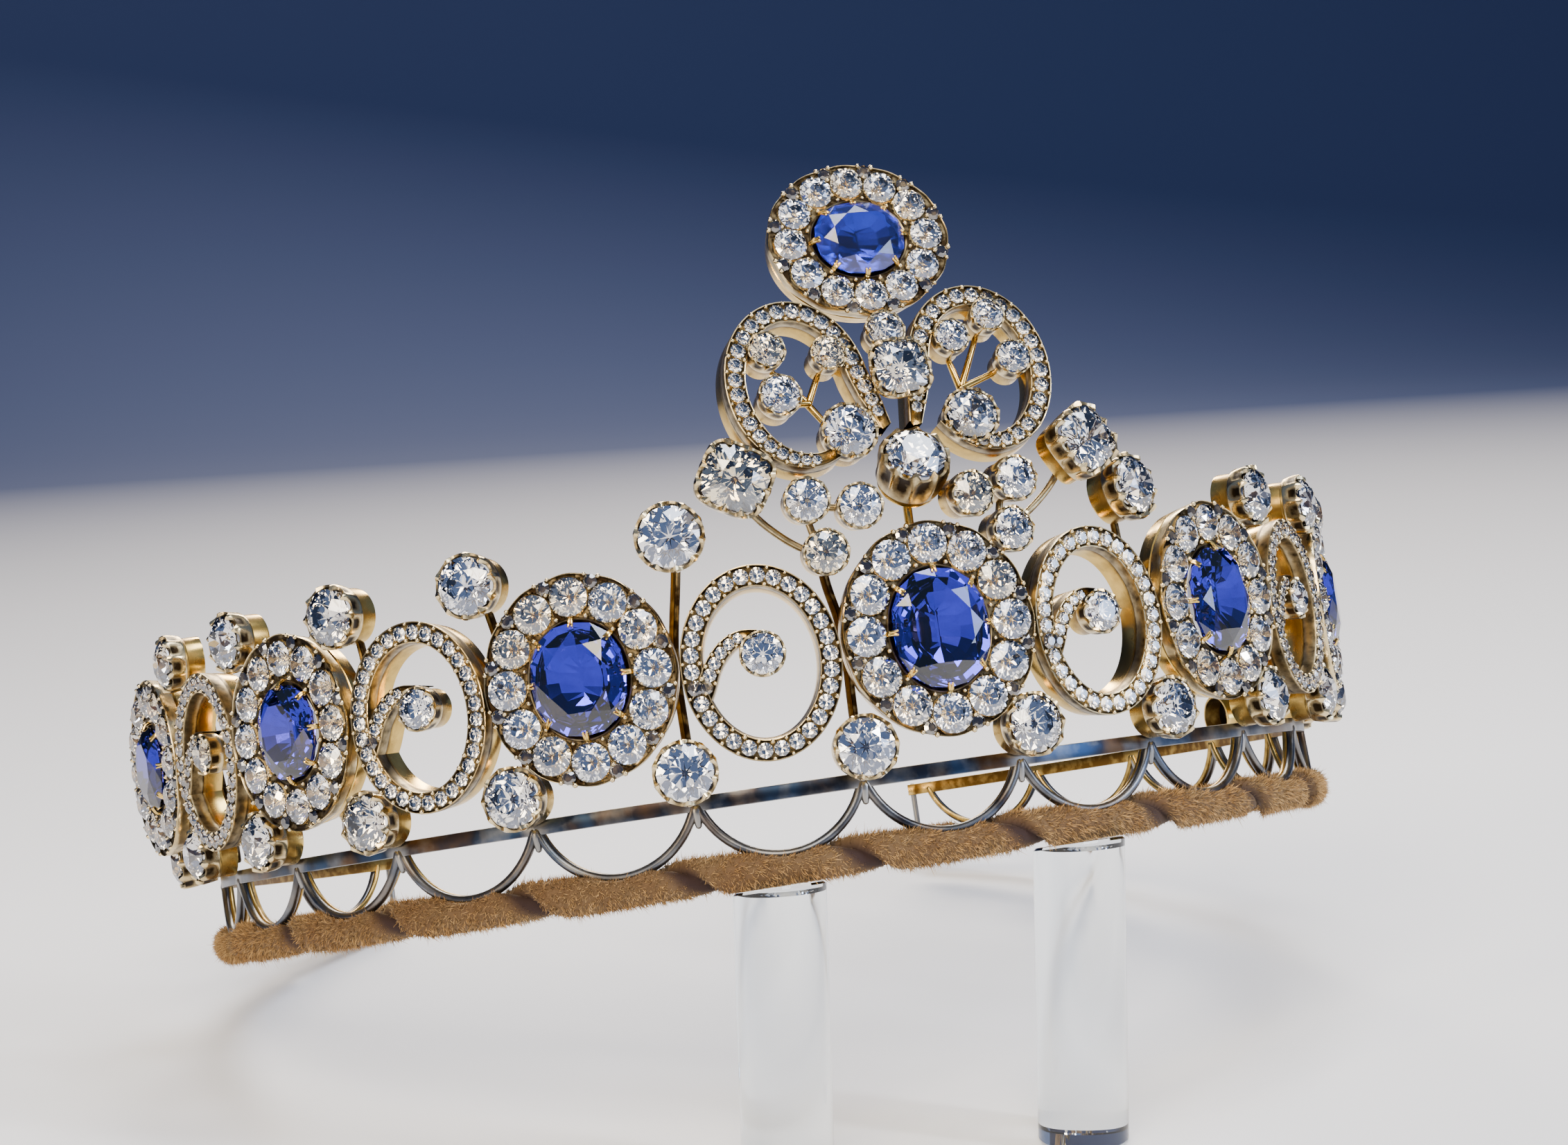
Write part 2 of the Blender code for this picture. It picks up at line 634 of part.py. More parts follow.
def crest(parent):
    """The leaning centrepiece: knop, heart of two scrolls, bud, cushion-cut diamond and top cluster."""
    lean = Matrix.Translation((0.0, -CREST_FRONT, CREST_FOOT)) @ Matrix.Rotation(-radians(CREST_LEAN), 4, "X")
    plane = bpy.data.objects.new("crest_plane", None)
    bpy.context.scene.collection.objects.link(plane)
    plane.parent = parent
    plane.matrix_local = lean
    for side in ("left", "right"):
        heart(side, plane)
    knop = new_object("crest_knop", lambda bm: collet(bm, *KNOP, COLLET_DEPTH, -0.9 * MM), DIAMOND, plane)
    back = lean @ Vector((KNOP[0], COLLET_DEPTH - 1.6 * MM, KNOP[1]))
    behind = ORNAMENT_BACK - GAP - 0.6 * STALK_WIRE
    rise = new_object("crest_stalk", lambda bm: wire(bm, [
        around(0.0, behind, CLUSTER_MIDDLE - 0.42 * CLUSTER_HEIGHT),
        around(0.0, behind, CREST_FOOT),
        Vector((0.0, back.y + 1.2 * MM, back.z - 1.0 * MM)),
        back,
    ], 1.2 * STALK_WIRE), GOLD, parent)
    add_modifier(knop, rise, "UNION")
    x, z, diameter = CUSHION
    new_object(
        "crest_cushion",
        lambda bm: collet(bm, x, z, diameter, 1.9 * MM, -0.4 * MM - 1.9 * MM, 12, 3.0, diameter, radians(12)),
        DIAMOND, plane)
    new_object("crest_bud", lambda bm: collet(bm, *BUD, BUD_DEPTH, 0.2 * MM, 10), DIAMOND, plane)
    cluster("crest_cluster", *TOP_SIZE, *TOP_SAPPHIRE, plane,
            Matrix.Translation((CREST_AXIS, 0.0, TOP_MIDDLE)))


def seat_matrix():
    """The tilt, and the lift that sets the lower end of the frame on the floor."""
    tilt = Euler((-radians(TILT_FRONT), -radians(TILT_SIDE), 0.0)).to_matrix().to_4x4()
    lowest = min((tilt @ around(side * HALF_SPAN, RING_RADIUS, -CORE_DROP)).z for side in (-1, 1))
    return Matrix.Translation((0.0, 0.0, VELVET_DIAMETER / 2 + WRAP_RELIEF - lowest)) @ tilt


def post(side, seat):
    """A clear rod whose top is cut to the diadem's tilt, just under the velvet."""
    under = -CORE_DROP - VELVET_DIAMETER / 2 - WRAP_RELIEF - GAP
    foot = seat @ around(POST_ANGLES[side], POST_RADIUS_ON_RING, under)
    normal = seat.to_3x3() @ Vector((0.0, 0.0, 1.0))

    def rod(bm):
        low, high = [], []
        for u, v in oval(POST_DIAMETER / 2, POST_DIAMETER / 2, 24):
            drop = -(normal.x * u + normal.y * v) / normal.z
            low.append((foot.x + u, foot.y + v, 0.0))
            high.append((foot.x + u, foot.y + v, foot.z + drop))
        loft(bm, [low, high])

    new_object(f"post_{side}", rod, ACRYLIC, ROOT)


def footprint_middle():
    """The middle, in x and y, of the box round every visible piece."""
    graph = bpy.context.evaluated_depsgraph_get()
    points = []
    for piece in bpy.data.objects:
        if piece.type == "MESH" and not piece.hide_render:
            shape = piece.evaluated_get(graph)
            points += [shape.matrix_world @ corner.co for corner in shape.data.vertices]
    return [(min(p[axis] for p in points) + max(p[axis] for p in points)) / 2 for axis in (0, 1)]


for old in list(bpy.data.objects):
    bpy.data.objects.remove(old, do_unlink=True)

SILVER = material("oxidised_silver", (0.32, 0.31, 0.32), 0.32, 1.0)
GOLD = material("yellow_gold", (0.86, 0.62, 0.28), 0.28, 1.0)
DIAMOND = material("diamond", (0.86, 0.89, 0.95), 0.05, 0.0)
SAPPHIRE = material("sapphire", (0.03, 0.08, 0.48), 0.05, 0.0)
VELVET = material("brown_velvet", (0.42, 0.25, 0.13), 0.95, 0.0)
ACRYLIC = material("clear_acrylic", (0.92, 0.95, 0.96), 0.05, 0.0, 1.0)

ROOT = bpy.data.objects.new("diadem_on_posts", None)
bpy.context.scene.collection.objects.link(ROOT)
SEAT = seat_matrix()
seat_empty = bpy.data.objects.new("diadem_seat", None)
bpy.context.scene.collection.objects.link(seat_empty)
seat_empty.parent = ROOT
seat_empty.matrix_local = SEAT

frame_band(seat_empty)
velvet(seat_empty)
for number, (stone_width, stone_height) in enumerate(SAPPHIRE_SIZES, -3):
    place_name = "middle" if number == 0 else ("left_" if number < 0 else "right_") + str(abs(number))
    share = CLUSTER_SHARES[abs(number)]
    cluster(f"cluster_{place_name}", CLUSTER_WIDTH * share, CLUSTER_HEIGHT * share, stone_width, stone_height,
            seat_empty, cluster_frame(number))
for element in SCROLLS:
    scroll(("scroll_left_" if element < 0 else "scroll_right_") + str((abs(element) + 1) // 2), element, seat_empty)
low_and_tall_collets(seat_empty)
for side in SPRIGS:
    side_sprig(side, seat_empty)
crest(seat_empty)
for side in POST_ANGLES:
    post(side, SEAT)
bpy.context.view_layer.update()
ROOT.location = [-value for value in footprint_middle()] + [0.0]
bpy.context.view_layer.update()
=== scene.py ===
"""The looks of a diadem on two clear posts: oval sapphire clusters, diamond scrolls shaped like a 6, collets
on stalks, a leaning heart-shaped crest, a tarnished silver frame and the velvet wound on its lowest wire.

Lengths are in millimetres. In a piece's own plane x runs across, z up and y into the diadem, and y = 0 is the
front of its metal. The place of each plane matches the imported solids."""

import bmesh
import bpy
import numpy as np
from mathutils import Matrix


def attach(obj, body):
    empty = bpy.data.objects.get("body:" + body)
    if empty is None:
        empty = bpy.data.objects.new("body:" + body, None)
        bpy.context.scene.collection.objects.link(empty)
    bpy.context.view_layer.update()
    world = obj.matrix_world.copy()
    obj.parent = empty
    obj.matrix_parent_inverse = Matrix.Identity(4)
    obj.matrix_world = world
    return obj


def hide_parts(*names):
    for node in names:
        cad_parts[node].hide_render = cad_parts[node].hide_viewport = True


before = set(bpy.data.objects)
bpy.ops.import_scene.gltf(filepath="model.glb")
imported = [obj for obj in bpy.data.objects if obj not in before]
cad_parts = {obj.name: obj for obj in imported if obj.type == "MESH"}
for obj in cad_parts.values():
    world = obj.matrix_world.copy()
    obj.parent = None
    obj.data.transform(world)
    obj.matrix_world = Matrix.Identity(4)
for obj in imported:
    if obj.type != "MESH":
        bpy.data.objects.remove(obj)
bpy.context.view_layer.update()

# Camera: the place and lens of the photograph, found from the even steps of the frame round the ring.
# It looks slightly down on the diadem from its left and is turned a little out of level.
lens = bpy.data.cameras.new("photo_view")
lens.sensor_width = 36.0
lens.lens = 69.75
camera = bpy.data.objects.new("photo_view", lens)
view_right = (0.94931, -0.31285, -0.03054)
view_up = (0.07668, 0.13623, 0.98770)
view_back = (-0.30485, -0.93998, 0.15332)
view_place = (-0.124459, -0.388407, 0.125468)


def standing(right, up, back, place):
    """The matrix of a camera or a lamp from its three directions and its place in metres."""
    return Matrix([*np.column_stack([right, up, back, place]).tolist(), [0, 0, 0, 1]])


camera.matrix_world = standing(view_right, view_up, view_back, view_place)
bpy.context.scene.collection.objects.link(camera)
bpy.context.scene.camera = camera


# Studio: a sheet, pale where the diadem stands and painted dark navy as painted shade where it curves up
# behind, a large soft lamp over the left shoulder, a cooler one from the right, one overhead, two small bright
# ones for the sparkle and one behind for the velvet.
def hex_colour(code, alpha=1.0):
    """An sRGB colour such as "#a0b1c2" as linear red, green and blue."""
    parts = np.array([int(code[i:i + 2], 16) for i in (1, 3, 5)]) / 255
    linear = np.where(parts <= 0.04045, parts / 12.92, ((parts + 0.055) / 1.055) ** 2.4)
    return (*linear.tolist(), alpha)


def add_node(tree, kind, inputs=None, **settings):
    """Adds a node, sets its properties, and gives each input a value or links it to another node's output."""
    node = tree.nodes.new(kind)
    for key, value in settings.items():
        setattr(node, key, value)
    for key, value in (inputs or {}).items():
        if isinstance(value, bpy.types.NodeSocket):
            tree.links.new(value, node.inputs[key])
        else:
            node.inputs[key].default_value = value
    return node


def new_finish(name, **constants):
    """A material with one Principled shader and the given constants on its sockets."""
    found = bpy.data.materials.new(name)
    found.use_nodes = True
    shader = found.node_tree.nodes["Principled BSDF"]
    for key, value in constants.items():
        shader.inputs[key.replace("_", " ")].default_value = value
    return found, found.node_tree, shader


def grid_faces(rows, columns, closed_rows, closed_columns):
    """Four-cornered faces over a grid of points numbered row by row; a closed way meets itself."""
    index = np.arange(rows * columns).reshape(rows, columns)
    down, across = np.roll(index, -1, axis=0), np.roll(index, -1, axis=1)
    both = np.roll(down, -1, axis=1)
    faces = np.stack([index, down, both, across], axis=-1)
    return faces[: rows if closed_rows else rows - 1, : columns if closed_columns else columns - 1]


# The sheet is a curve of height over depth, level in front and rising in a wide bend, pulled straight across.
# It lies a fifth of a millimetre under the feet.
bend_start, bend_radius, bend = 0.75, 0.6, np.linspace(0.05, 1.5, 24)
sheet_depth = np.concatenate([
    np.linspace(-1.6, bend_start, 12), bend_start + bend_radius * np.sin(bend), [1.36]])
sheet_height = np.concatenate([np.zeros(12), bend_radius - bend_radius * np.cos(bend), [1.8]])
sheet_across = np.linspace(-2.6, 2.6, 9)
sheet_points = np.stack(np.broadcast_arrays(
    sheet_across, sheet_depth[:, None], sheet_height[:, None] - 0.0002), axis=-1)
sheet_faces = grid_faces(len(sheet_depth), len(sheet_across), False, False)[..., ::-1]
sheet_mesh = bpy.data.meshes.new("studio_sheet")
sheet_mesh.from_pydata(sheet_points.reshape(-1, 3).tolist(), [], sheet_faces.reshape(-1, 4).tolist())
sheet_mesh.polygons.foreach_set("use_smooth", np.ones(len(sheet_mesh.polygons), bool))
# The paper is pale on the floor and painted dark navy as it rises behind, as painted shade.
sheet_paper, tree, shader = new_finish("studio_paper_painted_dark_behind", Roughness=0.75)
place = add_node(tree, "ShaderNodeTexCoord").outputs["Object"]
rise = add_node(tree, "ShaderNodeSeparateXYZ", {0: place})
shade = add_node(tree, "ShaderNodeMapRange", {"Value": rise.outputs["Y"], "From Min": 0.10, "From Max": 0.70})
painted_dark_grade = add_node(tree, "ShaderNodeMix", {
    0: shade.outputs["Result"], 6: hex_colour("#e9e9ea"), 7: hex_colour("#1d2b4e")}, data_type="RGBA")
tree.links.new(painted_dark_grade.outputs[2], shader.inputs["Base Color"])
sheet_mesh.materials.append(sheet_paper)
studio_sheet = bpy.data.objects.new("studio_sheet", sheet_mesh)
bpy.context.scene.collection.objects.link(studio_sheet)

world = bpy.data.worlds.new("studio_air")
world.use_nodes = True
world.node_tree.nodes["Background"].inputs["Color"].default_value = hex_colour("#8faae2")
world.node_tree.nodes["Background"].inputs["Strength"].default_value = 0.42
bpy.context.scene.world = world


def soft_lamp(name, place, target, size, power, colour):
    """A rectangular lamp at this place in metres, facing the target."""
    light = bpy.data.lights.new(name, "AREA")
    light.shape = "RECTANGLE"
    light.size, light.size_y = size
    light.energy = power
    light.color = hex_colour(colour)[:3]
    lamp = bpy.data.objects.new(name, light)
    back = np.array(place, float) - target
    back /= np.linalg.norm(back)
    right = np.cross((0.0, 0.0, 1.0), back)
    right /= np.linalg.norm(right)
    lamp.matrix_world = standing(right, np.cross(back, right), back, place)
    bpy.context.scene.collection.objects.link(lamp)


soft_lamp("key_lamp", (-0.45, -0.85, 0.95), (0, 0, 0.06), (0.75, 0.60), 21.0, "#fff0d8")
soft_lamp("fill_lamp", (0.85, -0.75, 0.40), (0, 0, 0.06), (0.35, 0.70), 7.0, "#c6daff")
soft_lamp("overhead_lamp", (0.10, -0.10, 1.10), (0, 0, 0.06), (0.60, 0.40), 9.5, "#eaf1ff")
soft_lamp("left_sparkle_lamp", (-0.80, -0.45, 0.25), (0, 0, 0.07), (0.05, 0.25), 3.0, "#ffe2b4")
soft_lamp("right_sparkle_lamp", (0.52, -0.55, 0.62), (0, 0, 0.07), (0.06, 0.30), 4.0, "#ffffff")
soft_lamp("rim_lamp", (0.25, 0.85, 0.55), (0, 0, 0.05), (0.60, 0.25), 12.0, "#fff1dc")


# Where the diadem stands: the ring is 150 across, raised at the front onto its posts, and lower on its left.
# Every plane below is a 4 by 4 matrix in millimetres; a turn is a right-handed rotation about one axis.
def turned(axis, degrees):
    """A rotation about x, y or z."""
    c, s = np.cos(np.radians(degrees)), np.sin(np.radians(degrees))
    first, second = {"x": (1, 2), "y": (2, 0), "z": (0, 1)}[axis]
    matrix = np.eye(4)
    matrix[first, first] = matrix[second, second] = c
    matrix[first, second], matrix[second, first] = -s, s
    return matrix


def moved(x, y, z):
    """A shift along x, y and z."""
    matrix = np.eye(4)
    matrix[:3, 3] = x, y, z
    return matrix


ring_radius = 75.0
pitch = 15.0
# The posts' tops lie under the velvet, in a plane of the ring; angles are from the front.
post_angles = {"left": -16.2, "right": 13.6}
post_radius, post_top, post_width = 73.0, -3.47, 11.0
seat = moved(0.703, 7.073, 20.839) @ turned("y", -2.0) @ turned("x", -15.3)


def ring_plane(angle, radius, height):
    """A plane that touches the ring at this angle from the front: x along the ring, y towards its axis."""
    return seat @ turned("z", angle) @ moved(0.0, -radius, height)


def on_ring(angle, radius, height):
    """Points in the ring's own frame from arrays of angle in degrees, radius and height."""
    turn = np.radians(angle)
    return np.stack(np.broadcast_arrays(radius * np.sin(turn), -radius * np.cos(turn), height), axis=-1)


# Pieces are worked out in millimetres and made in metres.
millimetre = 0.001


# A part is a tuple: its points, its faces of four corners (a triangle repeats the last), the finish of each
# face, and the wear of each point from 0, dark and sheltered, to 1, bright and rubbed. The dark is oxide on
# the silver, but painted shade on the gold, on the velvet and round the sapphires; the velvet's bright tips
# are painted light.
def skin(points, finish=0, wear=1.0, closed=(False, True)):
    """A part from a grid of points; finish and wear may be numbers or arrays over its rows."""
    rows, columns = points.shape[:2]
    faces = grid_faces(rows, columns, *closed)
    finishes = np.broadcast_to(np.asarray(finish, int), faces.shape[:2])
    wears = np.broadcast_to(np.asarray(wear, float), (rows, columns))
    return points.reshape(-1, 3), faces.reshape(-1, 4), finishes.ravel(), wears.ravel()


def placed(part, matrix):
    """The part moved by a 4 by 4 matrix."""
    points, *rest = part
    return (points @ matrix[:3, :3].T + matrix[:3, 3], *rest)


def copies(part, places, sizes=1.0, turns=0.0):
    """One part set at many places, each copy scaled and turned in its plane: all copies in one array."""
    points, faces, finish, wear = part
    places = np.asarray(places, float).reshape(-1, 3)
    count = len(places)
    sizes, turns = np.broadcast_to(sizes, count), np.broadcast_to(turns, count)
    c, s = np.cos(turns)[:, None], np.sin(turns)[:, None]
    x = points[:, 0] * c - points[:, 2] * s
    z = points[:, 0] * s + points[:, 2] * c
    shapes = np.stack([x, np.broadcast_to(points[:, 1], x.shape), z], axis=-1)
    moved_points = shapes * sizes[:, None, None] + places[:, None]
    shifted = faces[None] + np.arange(count)[:, None, None] * len(points)
    return moved_points.reshape(-1, 3), shifted.reshape(-1, 4), np.tile(finish, count), np.tile(wear, count)


def make_piece(name, parts, finishes, nodes, matrix=None, crease=38.0):
    """A mesh object from parts, at the origin and in metres. It rides on the body and stands for the nodes;
    edges sharper than the crease stay sharp, and with a crease of 0 every facet is flat."""
    counts = np.cumsum([0] + [len(part[0]) for part in parts])
    points = np.concatenate([part[0] for part in parts])
    faces = np.concatenate([part[1] + start for part, start in zip(parts, counts)])
    if matrix is not None:
        points = points @ matrix[:3, :3].T + matrix[:3, 3]
    corners = [row[:3] if row[2] == row[3] else row for row in faces.tolist()]
    mesh = bpy.data.meshes.new(name)
    mesh.from_pydata((points * millimetre).tolist(), [], corners)
    mesh.polygons.foreach_set("material_index", np.concatenate([part[2] for part in parts]))
    mesh.attributes.new("wear", "FLOAT", "POINT").data.foreach_set(
        "value", np.concatenate([part[3] for part in parts]).astype(np.float32))
    shape = bmesh.new()
    shape.from_mesh(mesh)
    bmesh.ops.remove_doubles(shape, verts=shape.verts, dist=2e-7)
    bmesh.ops.recalc_face_normals(shape, faces=shape.faces)
    shape.to_mesh(mesh)
    shape.free()
    mesh.polygons.foreach_set("use_smooth", np.full(len(mesh.polygons), crease > 0))
    if crease > 0:
        mesh.set_sharp_from_angle(angle=np.radians(crease))
    for finish in finishes:
        mesh.materials.append(finish)
    piece = bpy.data.objects.new(name, mesh)
    bpy.context.scene.collection.objects.link(piece)
    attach(piece, "root")
    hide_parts(*nodes)


# Frame: a flat rail of silver backed with gold, and under it a row of loops bent from silver wire with a gold
# wire soldered behind. Old silver tarnishes blue and brown, and its joints and rubbed edges are brighter.
def wear_nodes(tree, fine):
    """The wear attribute broken up by noise with features this fine, in millimetres."""
    place = add_node(tree, "ShaderNodeTexCoord").outputs["Object"]
    noise = add_node(tree, "ShaderNodeTexNoise", {"Vector": place, "Scale": 1000.0 / fine, "Detail": 5.0})
    wear = add_node(tree, "ShaderNodeAttribute", attribute_name="wear").outputs["Fac"]
    shifted = add_node(tree, "ShaderNodeMath", {0: noise.outputs["Fac"], 1: wear}, operation="ADD")
    level = add_node(tree, "ShaderNodeMapRange", {
        "Value": shifted.outputs[0], "From Min": 0.55, "From Max": 1.35})
    return place, noise.outputs["Fac"], level.outputs["Result"]


def two_tone(tree, shader, factor, dark, bright, dark_rough, bright_rough):
    """Base colour and roughness between a sheltered and a rubbed state."""
    colour = add_node(tree, "ShaderNodeMix", {
        0: factor, 6: hex_colour(dark), 7: hex_colour(bright)}, data_type="RGBA")
    rough = add_node(tree, "ShaderNodeMapRange", {
        "Value": factor, "To Min": dark_rough, "To Max": bright_rough})
    tree.links.new(colour.outputs[2], shader.inputs["Base Color"])
    tree.links.new(rough.outputs["Result"], shader.inputs["Roughness"])


# Tarnished silver: rubbed metal is pale, and the sulphide film goes from brown through near black to steel
# blue in patches about 7 across.
rail_silver, tree, shader = new_finish("tarnished_silver", Metallic=1.0)
place, grain, factor = wear_nodes(tree, 4.0)
patches = add_node(tree, "ShaderNodeTexNoise", {"Vector": place, "Scale": 150.0, "Detail": 3.0})
film = add_node(tree, "ShaderNodeValToRGB", {"Fac": patches.outputs["Fac"]})
stops = film.color_ramp.elements
stops[0].position, stops[0].color = 0.36, hex_colour("#4d3b2c")
stops[1].position, stops[1].color = 0.62, hex_colour("#283a52")
stops.new(0.48).color = hex_colour("#262830")
shine = add_node(tree, "ShaderNodeMix", {
    0: factor, 6: film.outputs["Color"], 7: hex_colour("#9a9893")}, data_type="RGBA")
tree.links.new(shine.outputs[2], shader.inputs["Base Color"])
shader.inputs["Roughness"].default_value = 0.35
bump = add_node(tree, "ShaderNodeBump", {"Height": grain, "Strength": 0.25, "Distance": 0.00006})
tree.links.new(bump.outputs["Normal"], shader.inputs["Normal"])

# Yellow gold of about 18 carat: polished by wear on the edges, and painted dark reddish brown in the corners
# as shade.
gold, tree, shader = new_finish("yellow_gold", Metallic=1.0)
_, grain, factor = wear_nodes(tree, 1.5)
two_tone(tree, shader, factor, "#5c4119", "#dfbb68", 0.42, 0.18)
bump = add_node(tree, "ShaderNodeBump", {"Height": grain, "Strength": 0.2, "Distance": 0.00005})
tree.links.new(bump.outputs["Normal"], shader.inputs["Normal"])


def rod(path, diameter, reference, sides=10, finish=0, wear=1.0):
    """A round wire along a path: the section's two directions are the cross products of the way along with a
    reference direction; both ends close in a short dome."""
    path = np.asarray(path, float)
    diameter = np.broadcast_to(np.asarray(diameter, float), len(path))
    along = np.gradient(path, axis=0)
    along /= np.linalg.norm(along, axis=1, keepdims=True)
    side = np.cross(along, np.broadcast_to(reference, along.shape))
    side /= np.linalg.norm(side, axis=1, keepdims=True)
    up = np.cross(side, along)
    steps = np.radians([90, 60, 30])
    path = np.concatenate([
        path[0] - along[0] * diameter[0] / 2 * np.sin(steps)[:, None], path,
        path[-1] + along[-1] * diameter[-1] / 2 * np.sin(steps[::-1])[:, None]])
    diameter = np.concatenate([diameter[0] * np.cos(steps), diameter, diameter[-1] * np.cos(steps[::-1])])
    side, up = (np.concatenate([np.repeat(a[:1], 3, 0), a, np.repeat(a[-1:], 3, 0)]) for a in (side, up))
    turn = np.linspace(0, 2 * np.pi, sides, endpoint=False)
    ring = np.cos(turn)[None, :, None] * side[:, None] + np.sin(turn)[None, :, None] * up[:, None]
    return skin(path[:, None] + ring * diameter[:, None, None] / 2, finish, wear)


# Heights are along the ring's axis. A loop's wire ends joint_half short of the joint, where the next one
# meets it in solder.
loops, half_span, loop_low, loop_depth = 19, 145.0, 0.2, 6.8
rail_low, rail_top, core_height = 6.525, 8.275, -0.95
joint_half = 0.3 * 0.95
# The rail's section is a rectangle with rounded corners, carried round the ring in steps of a degree.
corner, corner_radius = np.radians(np.array([0, 45, 90])), 0.12
rail_corners = [(0.48, 0.755, 0), (-0.48, 0.755, 90), (-0.48, -0.755, 180), (0.48, -0.755, 270)]
rail_section = np.concatenate([
    np.stack([u + corner_radius * np.cos(corner + np.radians(t)),
              v + corner_radius * np.sin(corner + np.radians(t))], axis=1) for u, v, t in rail_corners])
rail_angles = np.linspace(-half_span, half_span, 291)
rail_points = on_ring(rail_angles[:, None], ring_radius + rail_section[:, 0],
                      (rail_low + rail_top) / 2 + rail_section[:, 1])
rail_back = (rail_section[:, 0] < -0.1) & (np.roll(rail_section[:, 0], -1) < -0.1)
# It is rubbed bright over the joints, which are half a step from a loop's middle, and on its upper and lower
# edges.
from_middle = np.abs((rail_angles / pitch + 0.5) % 1.0 - 0.5) * pitch
rail_wear = 0.08 + 0.40 * (from_middle[:, None] > 6.8) + 0.30 * (np.abs(rail_section[:, 1]) > 0.8)
rail = skin(rail_points, rail_back.astype(int), rail_wear)
rail_ends = [skin(np.stack([end, np.broadcast_to(end.mean(0), end.shape)])) for end in rail_points[[0, -1]]]


def loop_wire(element, radius, low, diameter, finish, wear):
    """A loop: an arc of a circle laid on the ring, from the rail down to the velvet and back up."""
    half = np.radians(pitch / 2) * ring_radius - joint_half
    bend = (half**2 + loop_depth**2) / (2 * loop_depth)
    turn = np.linspace(-1, 1, 29) * np.arctan2(half, bend - loop_depth)
    angle = element * pitch + np.degrees(bend * np.sin(turn) / ring_radius)
    path = on_ring(angle, radius, low + bend * (1 - np.cos(turn)))
    return rod(path, diameter, on_ring(element * pitch, 1.0, 0.0), 12, finish, wear)


elements = np.arange(loops) - loops // 2
loop_parts = [loop_wire(e, ring_radius + 0.12, loop_low, 1.15, 0, 0.3) for e in elements]
loop_parts += [loop_wire(e, ring_radius - 0.55, loop_low + 0.15, 0.8, 1, 0.4) for e in elements]


def upright(angle, heights, diameter, *rest):
    """A short wire straight up from the ring through these heights."""
    return rod(on_ring(np.full(len(heights), angle), ring_radius, heights), diameter, (1, 0.2, 0), *rest)


pegs = [upright(e * pitch, np.linspace(core_height, loop_low, 3), 0.85) for e in elements]
joints = (np.arange(loops + 1) - loops / 2) * pitch
solder = [upright(j, np.linspace(4.9, 6.7, 4), (0.8, 1.15, 1.4, 1.6), 12, 0, 0.75) for j in joints[1:-1]]
end_posts = [upright(side * (half_span - 0.5), np.linspace(core_height, 8.0, 6), 0.95) for side in (-1, 1)]
core_angles = np.linspace(-half_span, half_span, 146)
core_wire = rod(on_ring(core_angles, ring_radius, core_height), 1.2, (0, 0, 1))
make_piece("frame_rail_and_loops", [rail, *rail_ends, *loop_parts, *pegs, *solder, *end_posts, core_wire],
           [rail_silver, gold], ["frame_band"], seat)


# Velvet: a ribbon of brown silk velvet wound on the lowest wire to keep it from slipping, one turn for each
# loop. A slit, painted dark as shade, shows where a turn goes in under the next one's edge; the pile stands
# about 0.8 high.
velvet_random = np.random.default_rng(4)
velvet_span, velvet_drop = half_span - 1.6, -1.15
edge_radius, thinning, slit_radius = 2.32, 0.42, 0.95


def wrap_phase(angle, turn):
    """0 at the free edge of a turn and 1 at the next, from the angle round the ring and round the wire. The
    sine makes the ribbon cross the front more steeply than the back."""
    return (angle / pitch - 0.22 + (turn - np.pi / 2) / (2 * np.pi) - 0.09 * np.sin(turn)) % 1.0


def ribbon_radius(phase):
    """The free edge stands up steeply; from there the turn thins, and its far side sinks under the next."""
    full = edge_radius - thinning * np.clip(phase, 0, 1)
    free_edge, far_side = np.clip(phase / 0.03, 0, 1), np.sqrt(np.clip((1 - phase - 0.02) / 0.2, 0, 1))
    return slit_radius + (full - slit_radius) * np.minimum(free_edge, far_side)


def painted_slit_light(phase):
    """1 on the open pile and 0 in the slit before the next edge, which is painted dark as shade."""
    return np.clip((0.90 - phase) / 0.10, 0, 1) * np.clip(phase / 0.03, 0, 1)


def pressed_flat(points):
    """What would go under the floor or into a post is pressed on it; seat's third row is the way up."""
    off_floor, off_post, round_post = 0.05, 0.03, 0.3
    sunk = np.minimum(points @ seat[2, :3] + seat[2, 3] - off_floor, 0.0)
    points = points - sunk[..., None] * seat[2, :3]
    for angle in post_angles.values():
        x, y, _ = on_ring(angle, post_radius, post_top)
        over = np.hypot(points[..., 0] - x, points[..., 1] - y) < post_width / 2 + round_post
        points[..., 2] = np.where(over, np.maximum(points[..., 2], post_top + off_post), points[..., 2])
    return points


def under_loops(angle, turn, reach):
    """The velvet's radius where a loop presses on it: its top stays under the arc of the loop's wire."""
    away = np.radians((angle / pitch + 0.5) % 1.0 - 0.5) * pitch * ring_radius
    room = np.maximum(loop_low - 0.25 + away**2 / 18.0 - velvet_drop, 0.5)
    lift = np.sin(turn)
    return np.where(lift > 0.3, np.minimum(reach, room / np.maximum(lift, 0.3)), reach)


velvet_angles = np.linspace(-velvet_span, velvet_span, 1150)[:, None]
velvet_turns = np.linspace(0, 2 * np.pi, 28, endpoint=False)[None]
ground_phase = wrap_phase(velvet_angles, velvet_turns)
ground_reach = under_loops(velvet_angles, velvet_turns, ribbon_radius(ground_phase))
ground_reach[[0, -1]] *= 0.0
ground_reach[[1, -2]] *= 0.85
ground_points = on_ring(velvet_angles, ring_radius + ground_reach * np.cos(velvet_turns),
                        velvet_drop + ground_reach * np.sin(velvet_turns))
# The ribbon under the pile is painted dark as shade, nearly black in the slits.
ground = skin(pressed_flat(ground_points), 0, 0.12 * painted_slit_light(ground_phase))

